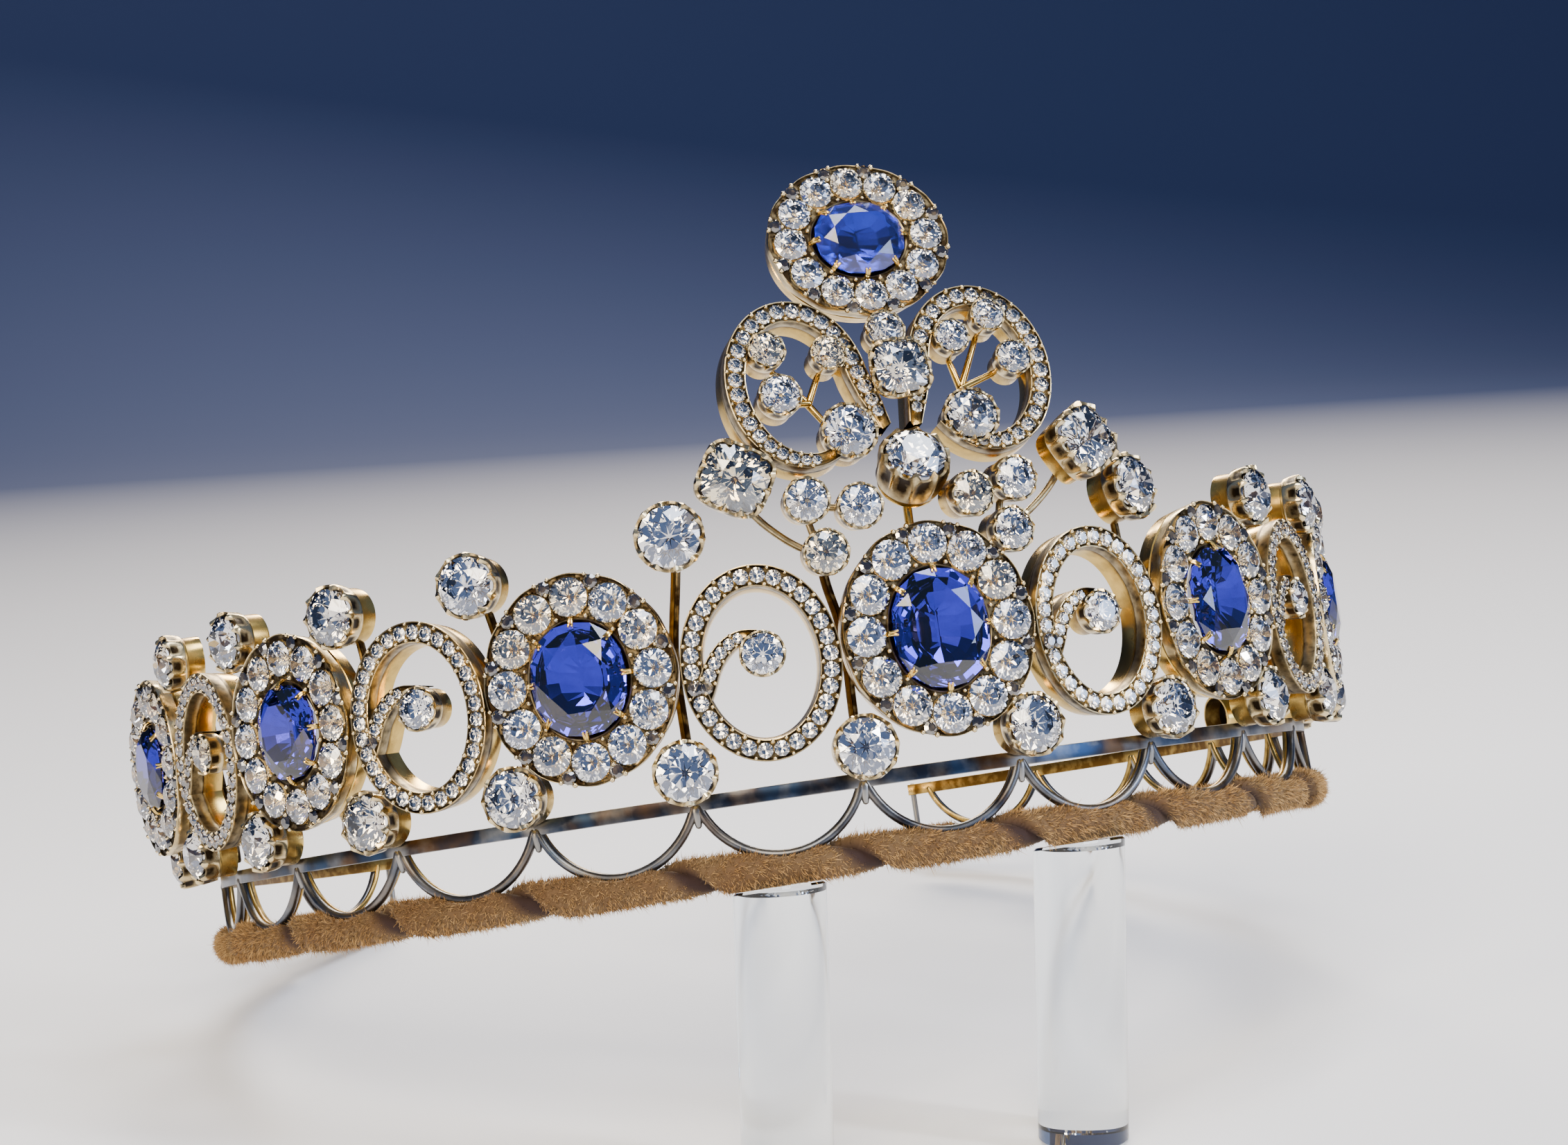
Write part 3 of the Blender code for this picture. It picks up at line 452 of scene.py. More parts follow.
# Each hair is one narrow triangle. The roots are spread evenly over the ribbon and the hairs lean in tufts.
hairs = 110000
hair_angle = velvet_random.uniform(-velvet_span + 0.3, velvet_span - 0.3, hairs)
hair_turn = velvet_random.uniform(0, 2 * np.pi, hairs)
hair_phase = wrap_phase(hair_angle, hair_turn)
keep = (hair_phase > 0.012) & (hair_phase < 0.91)
hair_angle, hair_turn, hair_phase = hair_angle[keep], hair_turn[keep], hair_phase[keep]
hair_root = under_loops(hair_angle, hair_turn, ribbon_radius(hair_phase)) - 0.05
root = on_ring(hair_angle, ring_radius + hair_root * np.cos(hair_turn),
               velvet_drop + hair_root * np.sin(hair_turn))
outward = on_ring(hair_angle, np.cos(hair_turn), np.sin(hair_turn))
round_ring = np.radians(hair_angle)
along = np.stack([np.cos(round_ring), np.sin(round_ring), np.zeros_like(hair_angle)], axis=-1)
around_wire = on_ring(hair_angle, -np.sin(hair_turn), np.cos(hair_turn))
clump = np.sin(hair_angle * 7.3 + 3.0 * np.sin(hair_turn * 3)) + np.sin(hair_angle * 3.1 - hair_turn * 5)
stray = velvet_random.normal(0, 0.36, (len(root), 3))
lean = stray + along * (0.25 + 0.3 * clump[:, None]) - around_wire * 0.3
direction = outward + lean
direction /= np.linalg.norm(direction, axis=1, keepdims=True)
pressed = np.clip((ribbon_radius(hair_phase) - hair_root) / 0.4, 0, 1)
short_at_slit = 1 - 0.8 * np.clip((hair_phase - 0.74) / 0.14, 0, 1)
hair_length = velvet_random.uniform(0.4, 1.05, len(root)) * (1 + 0.15 * clump) * short_at_slit
hair_length *= (1 - 0.6 * pressed) * np.where(velvet_random.random(len(root)) < 0.07, 1.7, 1.0)
width_way = np.cross(direction, velvet_random.normal(0, 1, (len(root), 3)))
width_way *= 0.06 / np.linalg.norm(width_way, axis=1, keepdims=True)
tip = root + direction * hair_length[:, None]
hair_points = pressed_flat(np.stack([root - width_way, root + width_way, tip], axis=1).reshape(-1, 3))
first = np.arange(len(root)) * 3
hair_faces = np.stack([first, first + 1, first + 2, first + 2], axis=1)
hair_finish = np.zeros(len(hair_faces), int)
# The hairs are painted dark at the roots as shade and bright at the tips as light, the tips varying in tufts,
# and dark all along in the slits.
tip_tone_and_painted_light = np.clip(0.72 + 0.2 * clump + velvet_random.normal(0, 0.16, len(root)), 0.1, 1)
hair_painted_light = painted_slit_light(hair_phase)
painted_root_shade, tip_tone_and_painted_light = 0.15 * hair_painted_light, tip_tone_and_painted_light * (0.2 + 0.8 * hair_painted_light)
hair_painted_light_and_shade = np.stack([painted_root_shade, painted_root_shade, tip_tone_and_painted_light], axis=1).ravel()

# Silk velvet: nearly black in the slits and brown at the roots as painted shade, golden at the tips as painted
# light, with a soft sheen.
velvet_finish, tree, shader = new_finish(
    "brown_silk_velvet", Roughness=0.85, Sheen_Weight=0.18, Sheen_Roughness=0.4,
    Sheen_Tint=hex_colour("#f2cf94"))
wear = add_node(tree, "ShaderNodeAttribute", attribute_name="wear").outputs["Fac"]
place = add_node(tree, "ShaderNodeTexCoord").outputs["Object"]
cloud = add_node(tree, "ShaderNodeTexNoise", {"Vector": place, "Scale": 260.0, "Detail": 4.0})
tips = add_node(tree, "ShaderNodeMix", {
    0: cloud.outputs["Fac"], 6: hex_colour("#cf8f3e"), 7: hex_colour("#ffdb98")}, data_type="RGBA")
pile = add_node(tree, "ShaderNodeMix", {
    0: wear, 6: hex_colour("#220a04"), 7: tips.outputs[2]}, data_type="RGBA")
tree.links.new(pile.outputs[2], shader.inputs["Base Color"])
make_piece("velvet_ribbon", [ground], [velvet_finish], ["velvet_binding"], seat, 80.0)
make_piece("velvet_pile", [(hair_points, hair_faces, hair_finish, hair_painted_light_and_shade)], [velvet_finish],
           ["velvet_binding"], seat, 0.0)


# Diamonds: old-cut stones with a small table, high crown and open culet; the smallest are single cut.
# Sapphires are oval mixed cuts. A stone's facets are flat, so nothing on it is smoothed.
def outline(turn, width, height, power=2.0):
    """x and z of an oval for each angle; a power over 2 squares it off, as a cushion cut is."""
    c, s = np.cos(turn), np.sin(turn)
    reach = (np.abs(c) ** power + np.abs(s) ** power) ** (-1 / power)
    return reach * c * width / 2, reach * s * height / 2


def facet_rings(rings, width, height, power):
    """Points of a stone from rings of (angles, share of the outline, depth)."""
    found = []
    for turns, share, depth in rings:
        x, z = outline(np.asarray(turns), width, height, power)
        found.append(np.stack([x * share, np.full(len(x), depth), z * share], axis=1))
    return np.concatenate(found)


def old_cut(width, height, power, crown, table, twist, wear, pavilion=0.82):
    """Table, star, kite and girdle facets over long and short pavilion facets. Each middle point lies on the
    straight line from table to girdle, or from girdle to culet, at its own distance, so a kite stays flat."""
    unit, sides = min(width, height) / 2, 8
    turns = 2 * np.pi * (np.arange(sides) + twist) / sides
    halves, both = turns + np.pi / sides, 2 * np.pi * (np.arange(2 * sides) / 2 + twist) / sides
    star, low, fall = 0.77, 0.36, np.cos(np.pi / sides)
    star_depth = -crown + (crown - 0.03) * (star * fall - table) / (1 - table)
    low_depth = 0.03 + (pavilion - 0.03) * (1 - low * fall) / 0.92
    points = facet_rings([
        (turns, table, -crown * unit), (halves, star, star_depth * unit), (both, 1.0, -0.03 * unit),
        (both, 1.0, 0.03 * unit), (halves, low, low_depth * unit), (turns, 0.08, pavilion * unit),
        ([0.0], 0.0, -crown * unit), ([0.0], 0.0, pavilion * unit)], width, height, power)
    i = np.arange(sides)
    nxt, prv = (i + 1) % sides, (i - 1) % sides
    # The first point of each ring: table, star, upper and lower girdle, lower facets and culet.
    T, M, G, H, Q, C = 0, sides, 2 * sides, 4 * sides, 6 * sides, 7 * sides
    even, odd, even_next = 2 * i, 2 * i + 1, 2 * nxt
    centre = np.full(sides, 8 * sides)
    faces = np.concatenate([np.stack(rows, axis=1) for rows in (
        (T + i, T + nxt, centre, centre), (T + i, M + i, T + nxt, T + nxt),
        (T + i, M + prv, G + even, M + i),
        (M + i, G + even, G + odd, G + odd), (M + i, G + odd, G + even_next, G + even_next),
        (G + even, H + even, H + odd, G + odd), (G + odd, H + odd, H + even_next, G + even_next),
        (H + even, Q + i, H + odd, H + odd), (H + odd, Q + i, H + even_next, H + even_next),
        (H + even, Q + prv, C + i, Q + i), (C + i, C + nxt, centre + 1, centre + 1))])
    return points, faces, np.zeros(len(faces), int), np.full(len(points), wear)


def single_cut(diameter):
    """A small stone: a table, one row of crown facets and one of pavilion facets."""
    unit, sides = diameter / 2, 8
    turns = 2 * np.pi * (np.arange(sides) + 0.5) / sides
    points = facet_rings([(turns, 0.55, -0.36 * unit), (turns, 1.0, 0.0), ([0.0], 0.0, -0.36 * unit),
                          ([0.0], 0.0, 0.8 * unit)], diameter, diameter, 2.0)
    i = np.arange(sides)
    nxt, top = (i + 1) % sides, np.full(sides, 2 * sides)
    faces = np.concatenate([np.stack(rows, axis=1) for rows in (
        (i, nxt, top, top), (i, sides + i, sides + nxt, nxt),
        (sides + i, top + 1, sides + nxt, sides + nxt))])
    return points, faces, np.zeros(len(faces), int), np.full(len(points), 0.5)


def keeled_cut(width, height, crown, table, pavilion):
    """A mixed cut: table, star, kite and girdle facets over two steps, which close in a short keel. A ring of
    the pavilion is the outline times its share; the keel's is 0.02 of it across and 0.3 of it up."""
    unit, sides, power = min(width, height) / 2, 8, 2.3
    turns = 2 * np.pi * (np.arange(sides) + 0.5) / sides
    halves, both = turns + np.pi / sides, 2 * np.pi * (np.arange(2 * sides) / 2 + 0.5) / sides
    star, fall = 0.84, np.cos(np.pi / sides)
    star_depth = -crown + (crown - 0.03) * (star * fall - table) / (1 - table)
    points = facet_rings([
        (turns, table, -crown * unit), (halves, star, star_depth * unit), (both, 1.0, -0.03 * unit),
        (both, 1.0, 0.03 * unit), (both, 0.80, 0.45 * pavilion * unit), (both, 0.46, 0.82 * pavilion * unit),
        ([0.0], 0.0, -crown * unit)], width, height, power)
    keel = facet_rings([(both, 1.0, pavilion * unit)], width, height, power) * [0.02, 1.0, 0.3]
    points = np.concatenate([points, keel, [[0.0, pavilion * unit, 0.0]]])
    i, j = np.arange(sides), np.arange(2 * sides)
    nxt, prv, ahead = (i + 1) % sides, (i - 1) % sides, (j + 1) % (2 * sides)
    # The first point of each ring: table, star, upper and lower girdle, the two steps, and the keel after the
    # table's middle.
    T, M, G, H, first, second = 0, sides, 2 * sides, 4 * sides, 6 * sides, 8 * sides
    centre, K = 10 * sides, 10 * sides + 1
    even, odd, even_next = 2 * i, 2 * i + 1, 2 * nxt
    flat, end = np.full(sides, centre), np.full(2 * sides, K + 2 * sides)
    faces = np.concatenate([np.stack(rows, axis=1) for rows in (
        (T + i, T + nxt, flat, flat), (T + i, M + i, T + nxt, T + nxt), (T + i, M + prv, G + even, M + i),
        (M + i, G + even, G + odd, G + odd), (M + i, G + odd, G + even_next, G + even_next),
        (G + j, H + j, H + ahead, G + ahead), (H + j, first + j, first + ahead, H + ahead),
        (first + j, second + j, second + ahead, first + ahead),
        (second + j, K + j, K + ahead, second + ahead), (K + j, end, K + ahead, K + ahead))])
    return points, faces, np.zeros(len(faces), int), np.full(len(points), 0.5)


# Diamond: clear, high index, no colour of its own; some old stones are faintly yellow.
diamond, tree, shader = new_finish("old_cut_diamond", Roughness=0.0, IOR=2.42, Transmission_Weight=1.0)
warmth = add_node(tree, "ShaderNodeAttribute", attribute_name="wear").outputs["Fac"]
body = add_node(tree, "ShaderNodeMix", {
    0: warmth, 6: hex_colour("#ffffff"), 7: hex_colour("#ffeabd")}, data_type="RGBA")
tree.links.new(body.outputs[2], shader.inputs["Base Color"])


# Sapphire: royal blue corundum with colour zones about 7 across; the stone on top is a milky one that softens
# what shows in it.
def sapphire_finish(name, deep, pale, haze):
    """Clear corundum between a deep and a pale blue; the haze is its roughness."""
    found, tree, shader = new_finish(name, Roughness=haze, IOR=1.77, Transmission_Weight=1.0)
    place = add_node(tree, "ShaderNodeTexCoord").outputs["Object"]
    zones = add_node(tree, "ShaderNodeTexNoise", {
        "Vector": place, "Scale": 140.0, "Detail": 3.0, "Distortion": 1.5})
    zoned = add_node(tree, "ShaderNodeMix", {
        0: zones.outputs["Fac"], 6: hex_colour(deep), 7: hex_colour(pale)}, data_type="RGBA")
    tree.links.new(zoned.outputs[2], shader.inputs["Base Color"])
    return found


royal_sapphire = sapphire_finish("royal_blue_sapphire", "#1a1888", "#4040cc", 0.0)
milky_sapphire = sapphire_finish("milky_blue_sapphire", "#1c2494", "#3540c0", 0.14)


# Collets: each single diamond sits in a silver cup whose rim is cut into claws, soldered on a short gold tube
# that is open at the back. The cup's flutes hold a dark oxide and its claw tips are rubbed bright.
silver, tree, shader = new_finish("oxidised_silver", Metallic=1.0)
_, grain, factor = wear_nodes(tree, 1.2)
two_tone(tree, shader, factor, "#2b2013", "#dcc695", 0.45, 0.20)
bump = add_node(tree, "ShaderNodeBump", {"Height": grain, "Strength": 0.3, "Distance": 0.00005})
tree.links.new(bump.outputs["Normal"], shader.inputs["Normal"])
stone_random = np.random.default_rng(11)
collet_depth = 4.6


def collet(width, height, depth, claws=10, power=2.0, flute=0.055, twist=0.0, deep=0.0, cup=0.46):
    """Metal and stone of one collet, its rim at y = 0. A claw is a high power of a cosine round the rim: it
    lifts the rim, stands out of the cup as a rib, and bends its tip in over the stone."""
    turn = np.linspace(0, 2 * np.pi, claws * 10, endpoint=False)
    claw = (0.5 + 0.5 * np.cos(claws * turn)) ** 2.5
    unit = min(width, height) / 2
    one = np.ones_like(turn)
    shoulder = depth * cup
    # A row is a share of the outline, a depth and its wear, from the cup's back up to the rim and in again.
    rows = [
        (0.78 * one, shoulder * one, 0.0), (0.925 * one, shoulder * one, 0.5),
        (0.95 * one, shoulder - 0.25, 0.9),
        (0.962 + flute * (claw - 0.5), shoulder * 0.55, 0.95 * claw),
        (0.985 + flute * (claw - 0.5), shoulder * 0.2, claw),
        (1.0 - 0.02 * (1 - claw), 0.10 * unit * (1 - claw) - 0.02 * unit, 0.1 + 0.9 * claw),
        (0.985 - 0.03 * claw, 0.06 * unit * (1 - claw) - 0.12 * unit * claw, 0.45 + 0.55 * claw),
        (0.915 - 0.085 * claw, 0.05 * unit * (1 - claw) - 0.15 * unit * claw, 0.35 + 0.65 * claw),
        (0.87 - 0.05 * claw, 0.10 * unit * (1 - claw) - 0.08 * unit * claw, 0.0),
        (0.82 * one, 0.35 * unit * one, 0.0),
    ]
    grid, wears = [], []
    for share, y, wear in rows:
        x, z = outline(turn, width, height, power)
        grid.append(np.stack([x * share, np.broadcast_to(y, turn.shape) + 0.0, z * share], axis=1))
        wears.append(np.broadcast_to(wear, turn.shape) * (1 - deep))
    cup_skin = skin(np.array(grid), 0, np.array(wears), (True, True))
    tube_turn = np.linspace(0, 2 * np.pi, 40, endpoint=False)
    x, z = outline(tube_turn, width, height, power)
    tube = skin(np.array([
        np.stack([x * share, np.full(40, y), z * share], axis=1) for share, y in (
            (0.855, shoulder - 0.1), (0.855, shoulder + 0.25), (0.835, shoulder + 0.35), (0.86, depth - 0.25),
            (0.855, depth - 0.03), (0.83, depth), (0.76, depth), (0.76, shoulder - 0.1))]),
        1, np.array([0.2, 0.4, 0.3, 0.8, 1.0, 0.9, 0.2, 0.0])[:, None], (True, True))
    stone = old_cut(width * 0.86, height * 0.86, power, crown=0.36 + stone_random.uniform(-0.03, 0.04),
                    table=stone_random.uniform(0.45, 0.55),
                    twist=stone_random.uniform(0, 1) if power == 2.0 else 0.0,
                    wear=stone_random.uniform(0, 1) ** 2)
    stone = (stone[0] + [0.0, -0.02 * unit, 0.0], *stone[1:])
    spin = turned("y", -twist)
    return [placed(cup_skin, spin), placed(tube, spin)], [placed(stone, spin)]


def twin_rod(path, reference):
    """A stalk: two thin wires soldered side by side, one silver and one gold, both dark with age."""
    path = np.asarray(path, float)
    t = np.linspace(0, len(path) - 1, 8 * (len(path) - 1) + 1)
    smooth = np.stack([np.interp(t, np.arange(len(path)), path[:, k]) for k in range(3)], axis=1)
    weight = np.ones(9) / 9
    padded = np.concatenate([np.repeat(smooth[:1], 4, 0), smooth, np.repeat(smooth[-1:], 4, 0)])
    smooth = np.stack([np.convolve(padded[:, k], weight, "valid") for k in range(3)], axis=1)
    along = np.gradient(smooth, axis=0)
    across = np.cross(along, reference)
    across /= np.linalg.norm(across, axis=1, keepdims=True)
    return [rod(smooth + across * offset, 0.64, reference, 8, finish, 0.08)
            for offset, finish in ((0.27, 0), (-0.27, 1))]


def make_jewel(metal_name, metal, stone_name, stones, node, matrix):
    """One jewel as two pieces on its plane: metal smoothed up to its edges, and diamonds with flat facets."""
    make_piece(metal_name, metal, [silver, gold], [node], matrix)
    make_piece(stone_name, stones, [diamond], [node], matrix, 0.0)


def set_collet(name, node, size, matrix, stalk=(), **shape):
    """One round collet, with its stalk if it has one, at this plane."""
    metal, stone = collet(size, size, collet_depth, **shape)
    metal += [placed(part, np.linalg.inv(matrix) @ seat) for part in stalk]
    make_jewel(name + "_mount", metal, name + "_diamond", stone, node, matrix)


low_size, low_back, low_middle = 7.8, 75.95, 11.0
for side in (-1, 1):
    word = "left" if side < 0 else "right"
    for n in range(7):
        plane = ring_plane(side * (n + 0.5) * pitch, low_back + collet_depth, low_middle)
        set_collet(f"low_{word}_{n + 1}", f"low_collet_{word}_{n + 1}", low_size, plane, twist=17.0 * n)

# Tall collets stand on stalks that rise from behind the low ones, in the gaps between clusters and scrolls.
# The first one on the right was bent a little with use and faces outwards and up. A row is the joint that the
# stalk rises from and the place of the collet, both in steps of the frame, its width and its height.
tall_back = 77.0
tall = ((1.5, 1.40, 8.4, 38.0), (2.5, 2.58, 8.0, 36.3), (3.5, 3.52, 8.0, 35.9), (4.5, 4.50, 7.8, 36.0),
        (5.5, 5.50, 7.6, 36.0))


def stalk_path(joint, at, height, back):
    """From over the rail, straight up behind the low collet, then to the middle of the tall collet's back."""
    over_rail, behind = 75.2, 76.15
    return np.stack([
        on_ring(joint * pitch, over_rail, 8.575), on_ring(joint * pitch, over_rail, 15.68),
        on_ring(joint * pitch, behind, 20.4), on_ring(joint * pitch, behind, 25.4),
        on_ring(at * pitch, back - 0.3, height - 2.6), on_ring(at * pitch, back + 1.0, height)])


for side in (-1, 1):
    word = "left" if side < 0 else "right"
    for n, (joint, at, size, height) in enumerate(tall, 1):
        stalk = twin_rod(stalk_path(side * joint, side * at, height, tall_back),
                         on_ring(side * at * pitch, 1.0, 0.0))
        plane = ring_plane(side * at * pitch, tall_back + collet_depth, height)
        if side > 0 and n == 1:
            plane = plane @ turned("z", 12.0) @ turned("x", -8.0)
        set_collet(f"tall_{word}_{n}", f"tall_collet_{word}_{n}", size, plane, stalk, twist=23.0 * n)


# Clusters: twelve old-cut diamonds round an oval sapphire. They are set in one silver front with small stones
# and grains in the gaps, on a gold gallery; eight gold claws hold the sapphire, and a gap runs round it whose
# wall and ledge are painted dark as shade.
def bead(diameter):
    """A grain of metal raised over a stone's edge: half an ellipsoid of revolution."""
    rise = np.radians([0, 35, 68, 90])[:, None]
    turn = np.linspace(0, 2 * np.pi, 7, endpoint=False)[None]
    x, z = np.cos(rise) * np.cos(turn), np.cos(rise) * np.sin(turn)
    points = np.stack([x, np.broadcast_to(-1.1 * np.sin(rise), x.shape), z], axis=-1) * diameter / 2
    return skin(points)


def even_turns(width, height, count, start=0.0):
    """Angles of points at even lengths along an oval, from its top."""
    fine = np.linspace(0, 2 * np.pi, 1441)
    x, z = width / 2 * np.sin(fine), height / 2 * np.cos(fine)
    length = np.concatenate([[0], np.cumsum(np.hypot(np.diff(x), np.diff(z)))])
    at = (np.arange(count) + start) / count * length[-1]
    return np.interp(at % length[-1], length, fine), length[-1] / count


def cluster(name, width, height, stone_width, stone_height, matrix, blue_finish=royal_sapphire):
    """One cluster as three pieces. A point of its metal is a share between the inner oval and the outer."""
    # The opening leaves a gap of 0.3 round the sapphire, its wall painted dark as shade, and a diamond almost
    # fills its place in the row.
    count, gap = 12, 0.3
    inner = (stone_width + 2 * gap, stone_height + 2 * gap)
    middle = (width / 2 + inner[0] / 2, height / 2 + inner[1] / 2)
    turns, step = even_turns(*middle, count)
    between, _ = even_turns(*middle, count, 0.5)
    across = (width - inner[0] + height - inner[1]) / 4
    size = min(0.95 * step, 0.93 * across)

    def at(angles, share, y):
        c, s = np.sin(angles), np.cos(angles)
        return np.stack([c * (inner[0] * (1 - share) + width * share) / 2, np.full(len(angles), y),
                         s * (inner[1] * (1 - share) + height * share) / 2], axis=1)

    # A row of the section is a share, a depth, its wear and its finish: the gallery's outside, the rim, the
    # level front and the opening's wall. The front dips in a cone under each diamond, clear of its pavilion
    # and burnished bright.
    level = 0.3
    rows = [(0.86, 4.3, 0.9, 1), (0.90, 3.2, 0.6, 1), (0.93, 2.3, 0.9, 1), (0.90, 2.15, 0.2, 1),
            (0.90, 1.95, 0.1, 0), (0.955, 1.85, 0.7, 0), (0.985, 0.9, 0.4, 0), (0.995, 0.25, 0.9, 0),
            (0.985, 0.02, 1.0, 0), (0.97, 0.08, 0.3, 0)]
    rows += [(share, level, 0.1, 0) for share in np.linspace(0.95, 0.05, 19)]
    # The opening's wall and the ledge under the sapphire's girdle have wear 0: painted shade.
    rows += [(0.03, 0.12, 0.4, 0), (0.0, 0.2, 0.3, 0), (0.0, 0.8, 0.0, 0), (-0.17, 1.0, 0.0, 0),
             (-0.17, 1.3, 0.0, 0), (0.0, 1.6, 0.1, 1), (0.02, 3.6, 0.2, 1), (0.06, 4.3, 0.8, 1)]
    shares, depths, wears, finishes = (np.array(column, float)[:, None] for column in zip(*rows))
    turn = np.linspace(0, 2 * np.pi, 240, endpoint=False)
    scalloped = shares + 0.016 * np.cos(count * turn) * (shares > 0.94)
    x = np.sin(turn) * (inner[0] * (1 - scalloped) + width * scalloped) / 2
    z = np.cos(turn) * (inner[1] * (1 - scalloped) + height * scalloped) / 2
    stones_at = at(turns, 0.5, 0.0)
    away = np.sqrt((x[..., None] - stones_at[:, 0]) ** 2 + (z[..., None] - stones_at[:, 2]) ** 2)
    away = away.min(axis=-1) / (size / 2)
    bowl = (depths == level) * np.clip(1.02 - away, 0, 1)
    grid = np.stack([x, depths + bowl * size * 0.42 + 0.35 * (bowl > 0), z], axis=-1)
    plate = skin(grid, finishes, np.where(bowl > 0, 1.0, np.broadcast_to(wears, x.shape)), (True, True))

    diamonds = []
    for place, wobble in zip(stones_at, stone_random.uniform(-1, 1, count)):
        stone = old_cut(size, size, 2.15, 0.36 + 0.03 * wobble, 0.5 + 0.05 * wobble,
                        stone_random.uniform(0, 1), stone_random.uniform(0, 1) ** 2, 0.8)
        diamonds.append((stone[0] + place, *stone[1:]))
    filler = at(between, 0.83, -0.02)
    diamonds.append(copies(single_cut(1.75), filler, 1.0, stone_random.uniform(0, 1, count)))
    grain_spots = ((0.0, 0.10), (0.075, 0.97), (-0.075, 0.97), (0.0, 0.68), (0.06, 0.26), (-0.06, 0.26))
    grains = [copies(bead(0.62), at(between + shift, share, 0.02), stone_random.uniform(0.8, 1.15, count))
              for shift, share in grain_spots]

    # A claw is two wires that part as they rise and bend in over the sapphire's edge.
    rise = np.array([(1.09, 2.6), (1.10, 1.2), (1.08, 0.1), (1.04, -0.40), (0.98, -0.66), (0.94, -0.78)])
    claws = []
    for angle in even_turns(stone_width, stone_height, 8)[0]:
        c, s = np.sin(angle), np.cos(angle)
        path = np.stack([c * rise[:, 0] * stone_width / 2, rise[:, 1],
                         s * rise[:, 0] * stone_height / 2], axis=1)
        for offset in (-0.22, 0.22):
            parting = np.outer(np.linspace(0, 1, 6), [offset * s, 0, -offset * c])
            claws.append(rod(path + parting, (0.6, 0.6, 0.5, 0.42, 0.38, 0.34), (s, 0, -c), 8, 1, 1.0))
    make_jewel(name + "_setting", [plate, *grains, *claws], name + "_diamonds", diamonds,
               name + "_halo", matrix)
    unit = min(stone_width, stone_height) / 2
    points, *rest = keeled_cut(stone_width, stone_height, 1.35 / unit, 0.62, 3.3 / unit)
    make_piece(name + "_blue", [(points + [0.0, -0.25, 0.0], *rest)], [blue_finish], [name + "_sapphire"],
               matrix, 0.0)


# A row is the step of the frame that the cluster stands over, its share of the full size, and the width and
# height of its sapphire. The last cluster on each side swings out about its inner edge.
ornament_front, cluster_width, cluster_height, cluster_middle, end_swing = 81.2, 23.6, 25.2, 23.4, 9.0
clusters = ((0, 1.0, 11.8, 14.0), (-2, 0.98, 11.5, 13.2), (2, 0.98, 11.7, 13.1), (-4, 0.955, 10.6, 11.6),
            (4, 0.955, 10.6, 11.6), (-6, 0.93, 10.0, 11.2), (6, 0.93, 10.0, 11.2))
for element, share, stone_width, stone_height in clusters:
    word = "middle" if element == 0 else ("left_" if element < 0 else "right_") + str(abs(element) // 2)
    plane = ring_plane(element * pitch, ornament_front, cluster_middle)
    if abs(element) == 6:
        hinge = -np.sign(element) * cluster_width / 2 * share
        plane = plane @ moved(hinge, 0, 0) @ turned("z", -end_swing * np.sign(element)) @ moved(-hinge, 0, 0)
    cluster(f"cluster_{word}", cluster_width * share, cluster_height * share,
            stone_width, stone_height, plane)


# Scrolls: a closed oval band with a curl inside it that ends in a collet, like a 6. The silver front carries
# one row of small diamonds held by pairs of grains; the walls behind are gold and the back is hollow.
def band(path, widths, closed, taper=0.96):
    """A hollow band on edge: rows of its section are a share of its half width, a depth, wear and finish,
    carried along the path. The middle row is the bright groove under the stones."""
    depth = band_depth
    path = np.asarray(path, float)
    if closed:
        along = np.roll(path, -1, axis=0) - np.roll(path, 1, axis=0)
    else:
        along = np.gradient(path, axis=0)
    along /= np.linalg.norm(along, axis=1, keepdims=True)
    across = np.stack([along[:, 1], -along[:, 0]], axis=1) * np.broadcast_to(widths, len(path))[:, None] / 2
    section = [
        (0.72, depth - 0.9, 0.1, 1), (0.80, depth, 0.8, 1), (1.0, depth, 1.0, 1), (0.99, depth * 0.5, 0.6, 1),
        (0.93, depth * 0.42, 0.1, 0), (1.0, depth * 0.36, 0.4, 0), (1.0, 0.30, 0.2, 0), (0.96, 0.08, 0.6, 0),
        (0.88, 0.06, 0.4, 0), (0.80, 0.2, 0.0, 0), (0.66, 0.4, 0.3, 0), (0.0, 1.15, 1.0, 0)]
    section += [(-share, y, wear, finish) for share, y, wear, finish in section[-2::-1]]
    grid = []
    for share, y, _, _ in section:
        line = (path + across * share) * (1 - (1 - taper) * y / depth)
        grid.append(np.stack([line[:, 0], np.full(len(path), y), line[:, 1]], axis=1))
    finish = np.array([row[3] for row in section])
    finish[-2] = 1
    wear = np.array([row[2] for row in section])
    return skin(np.array(grid), finish[:, None], wear[:, None], (True, closed))


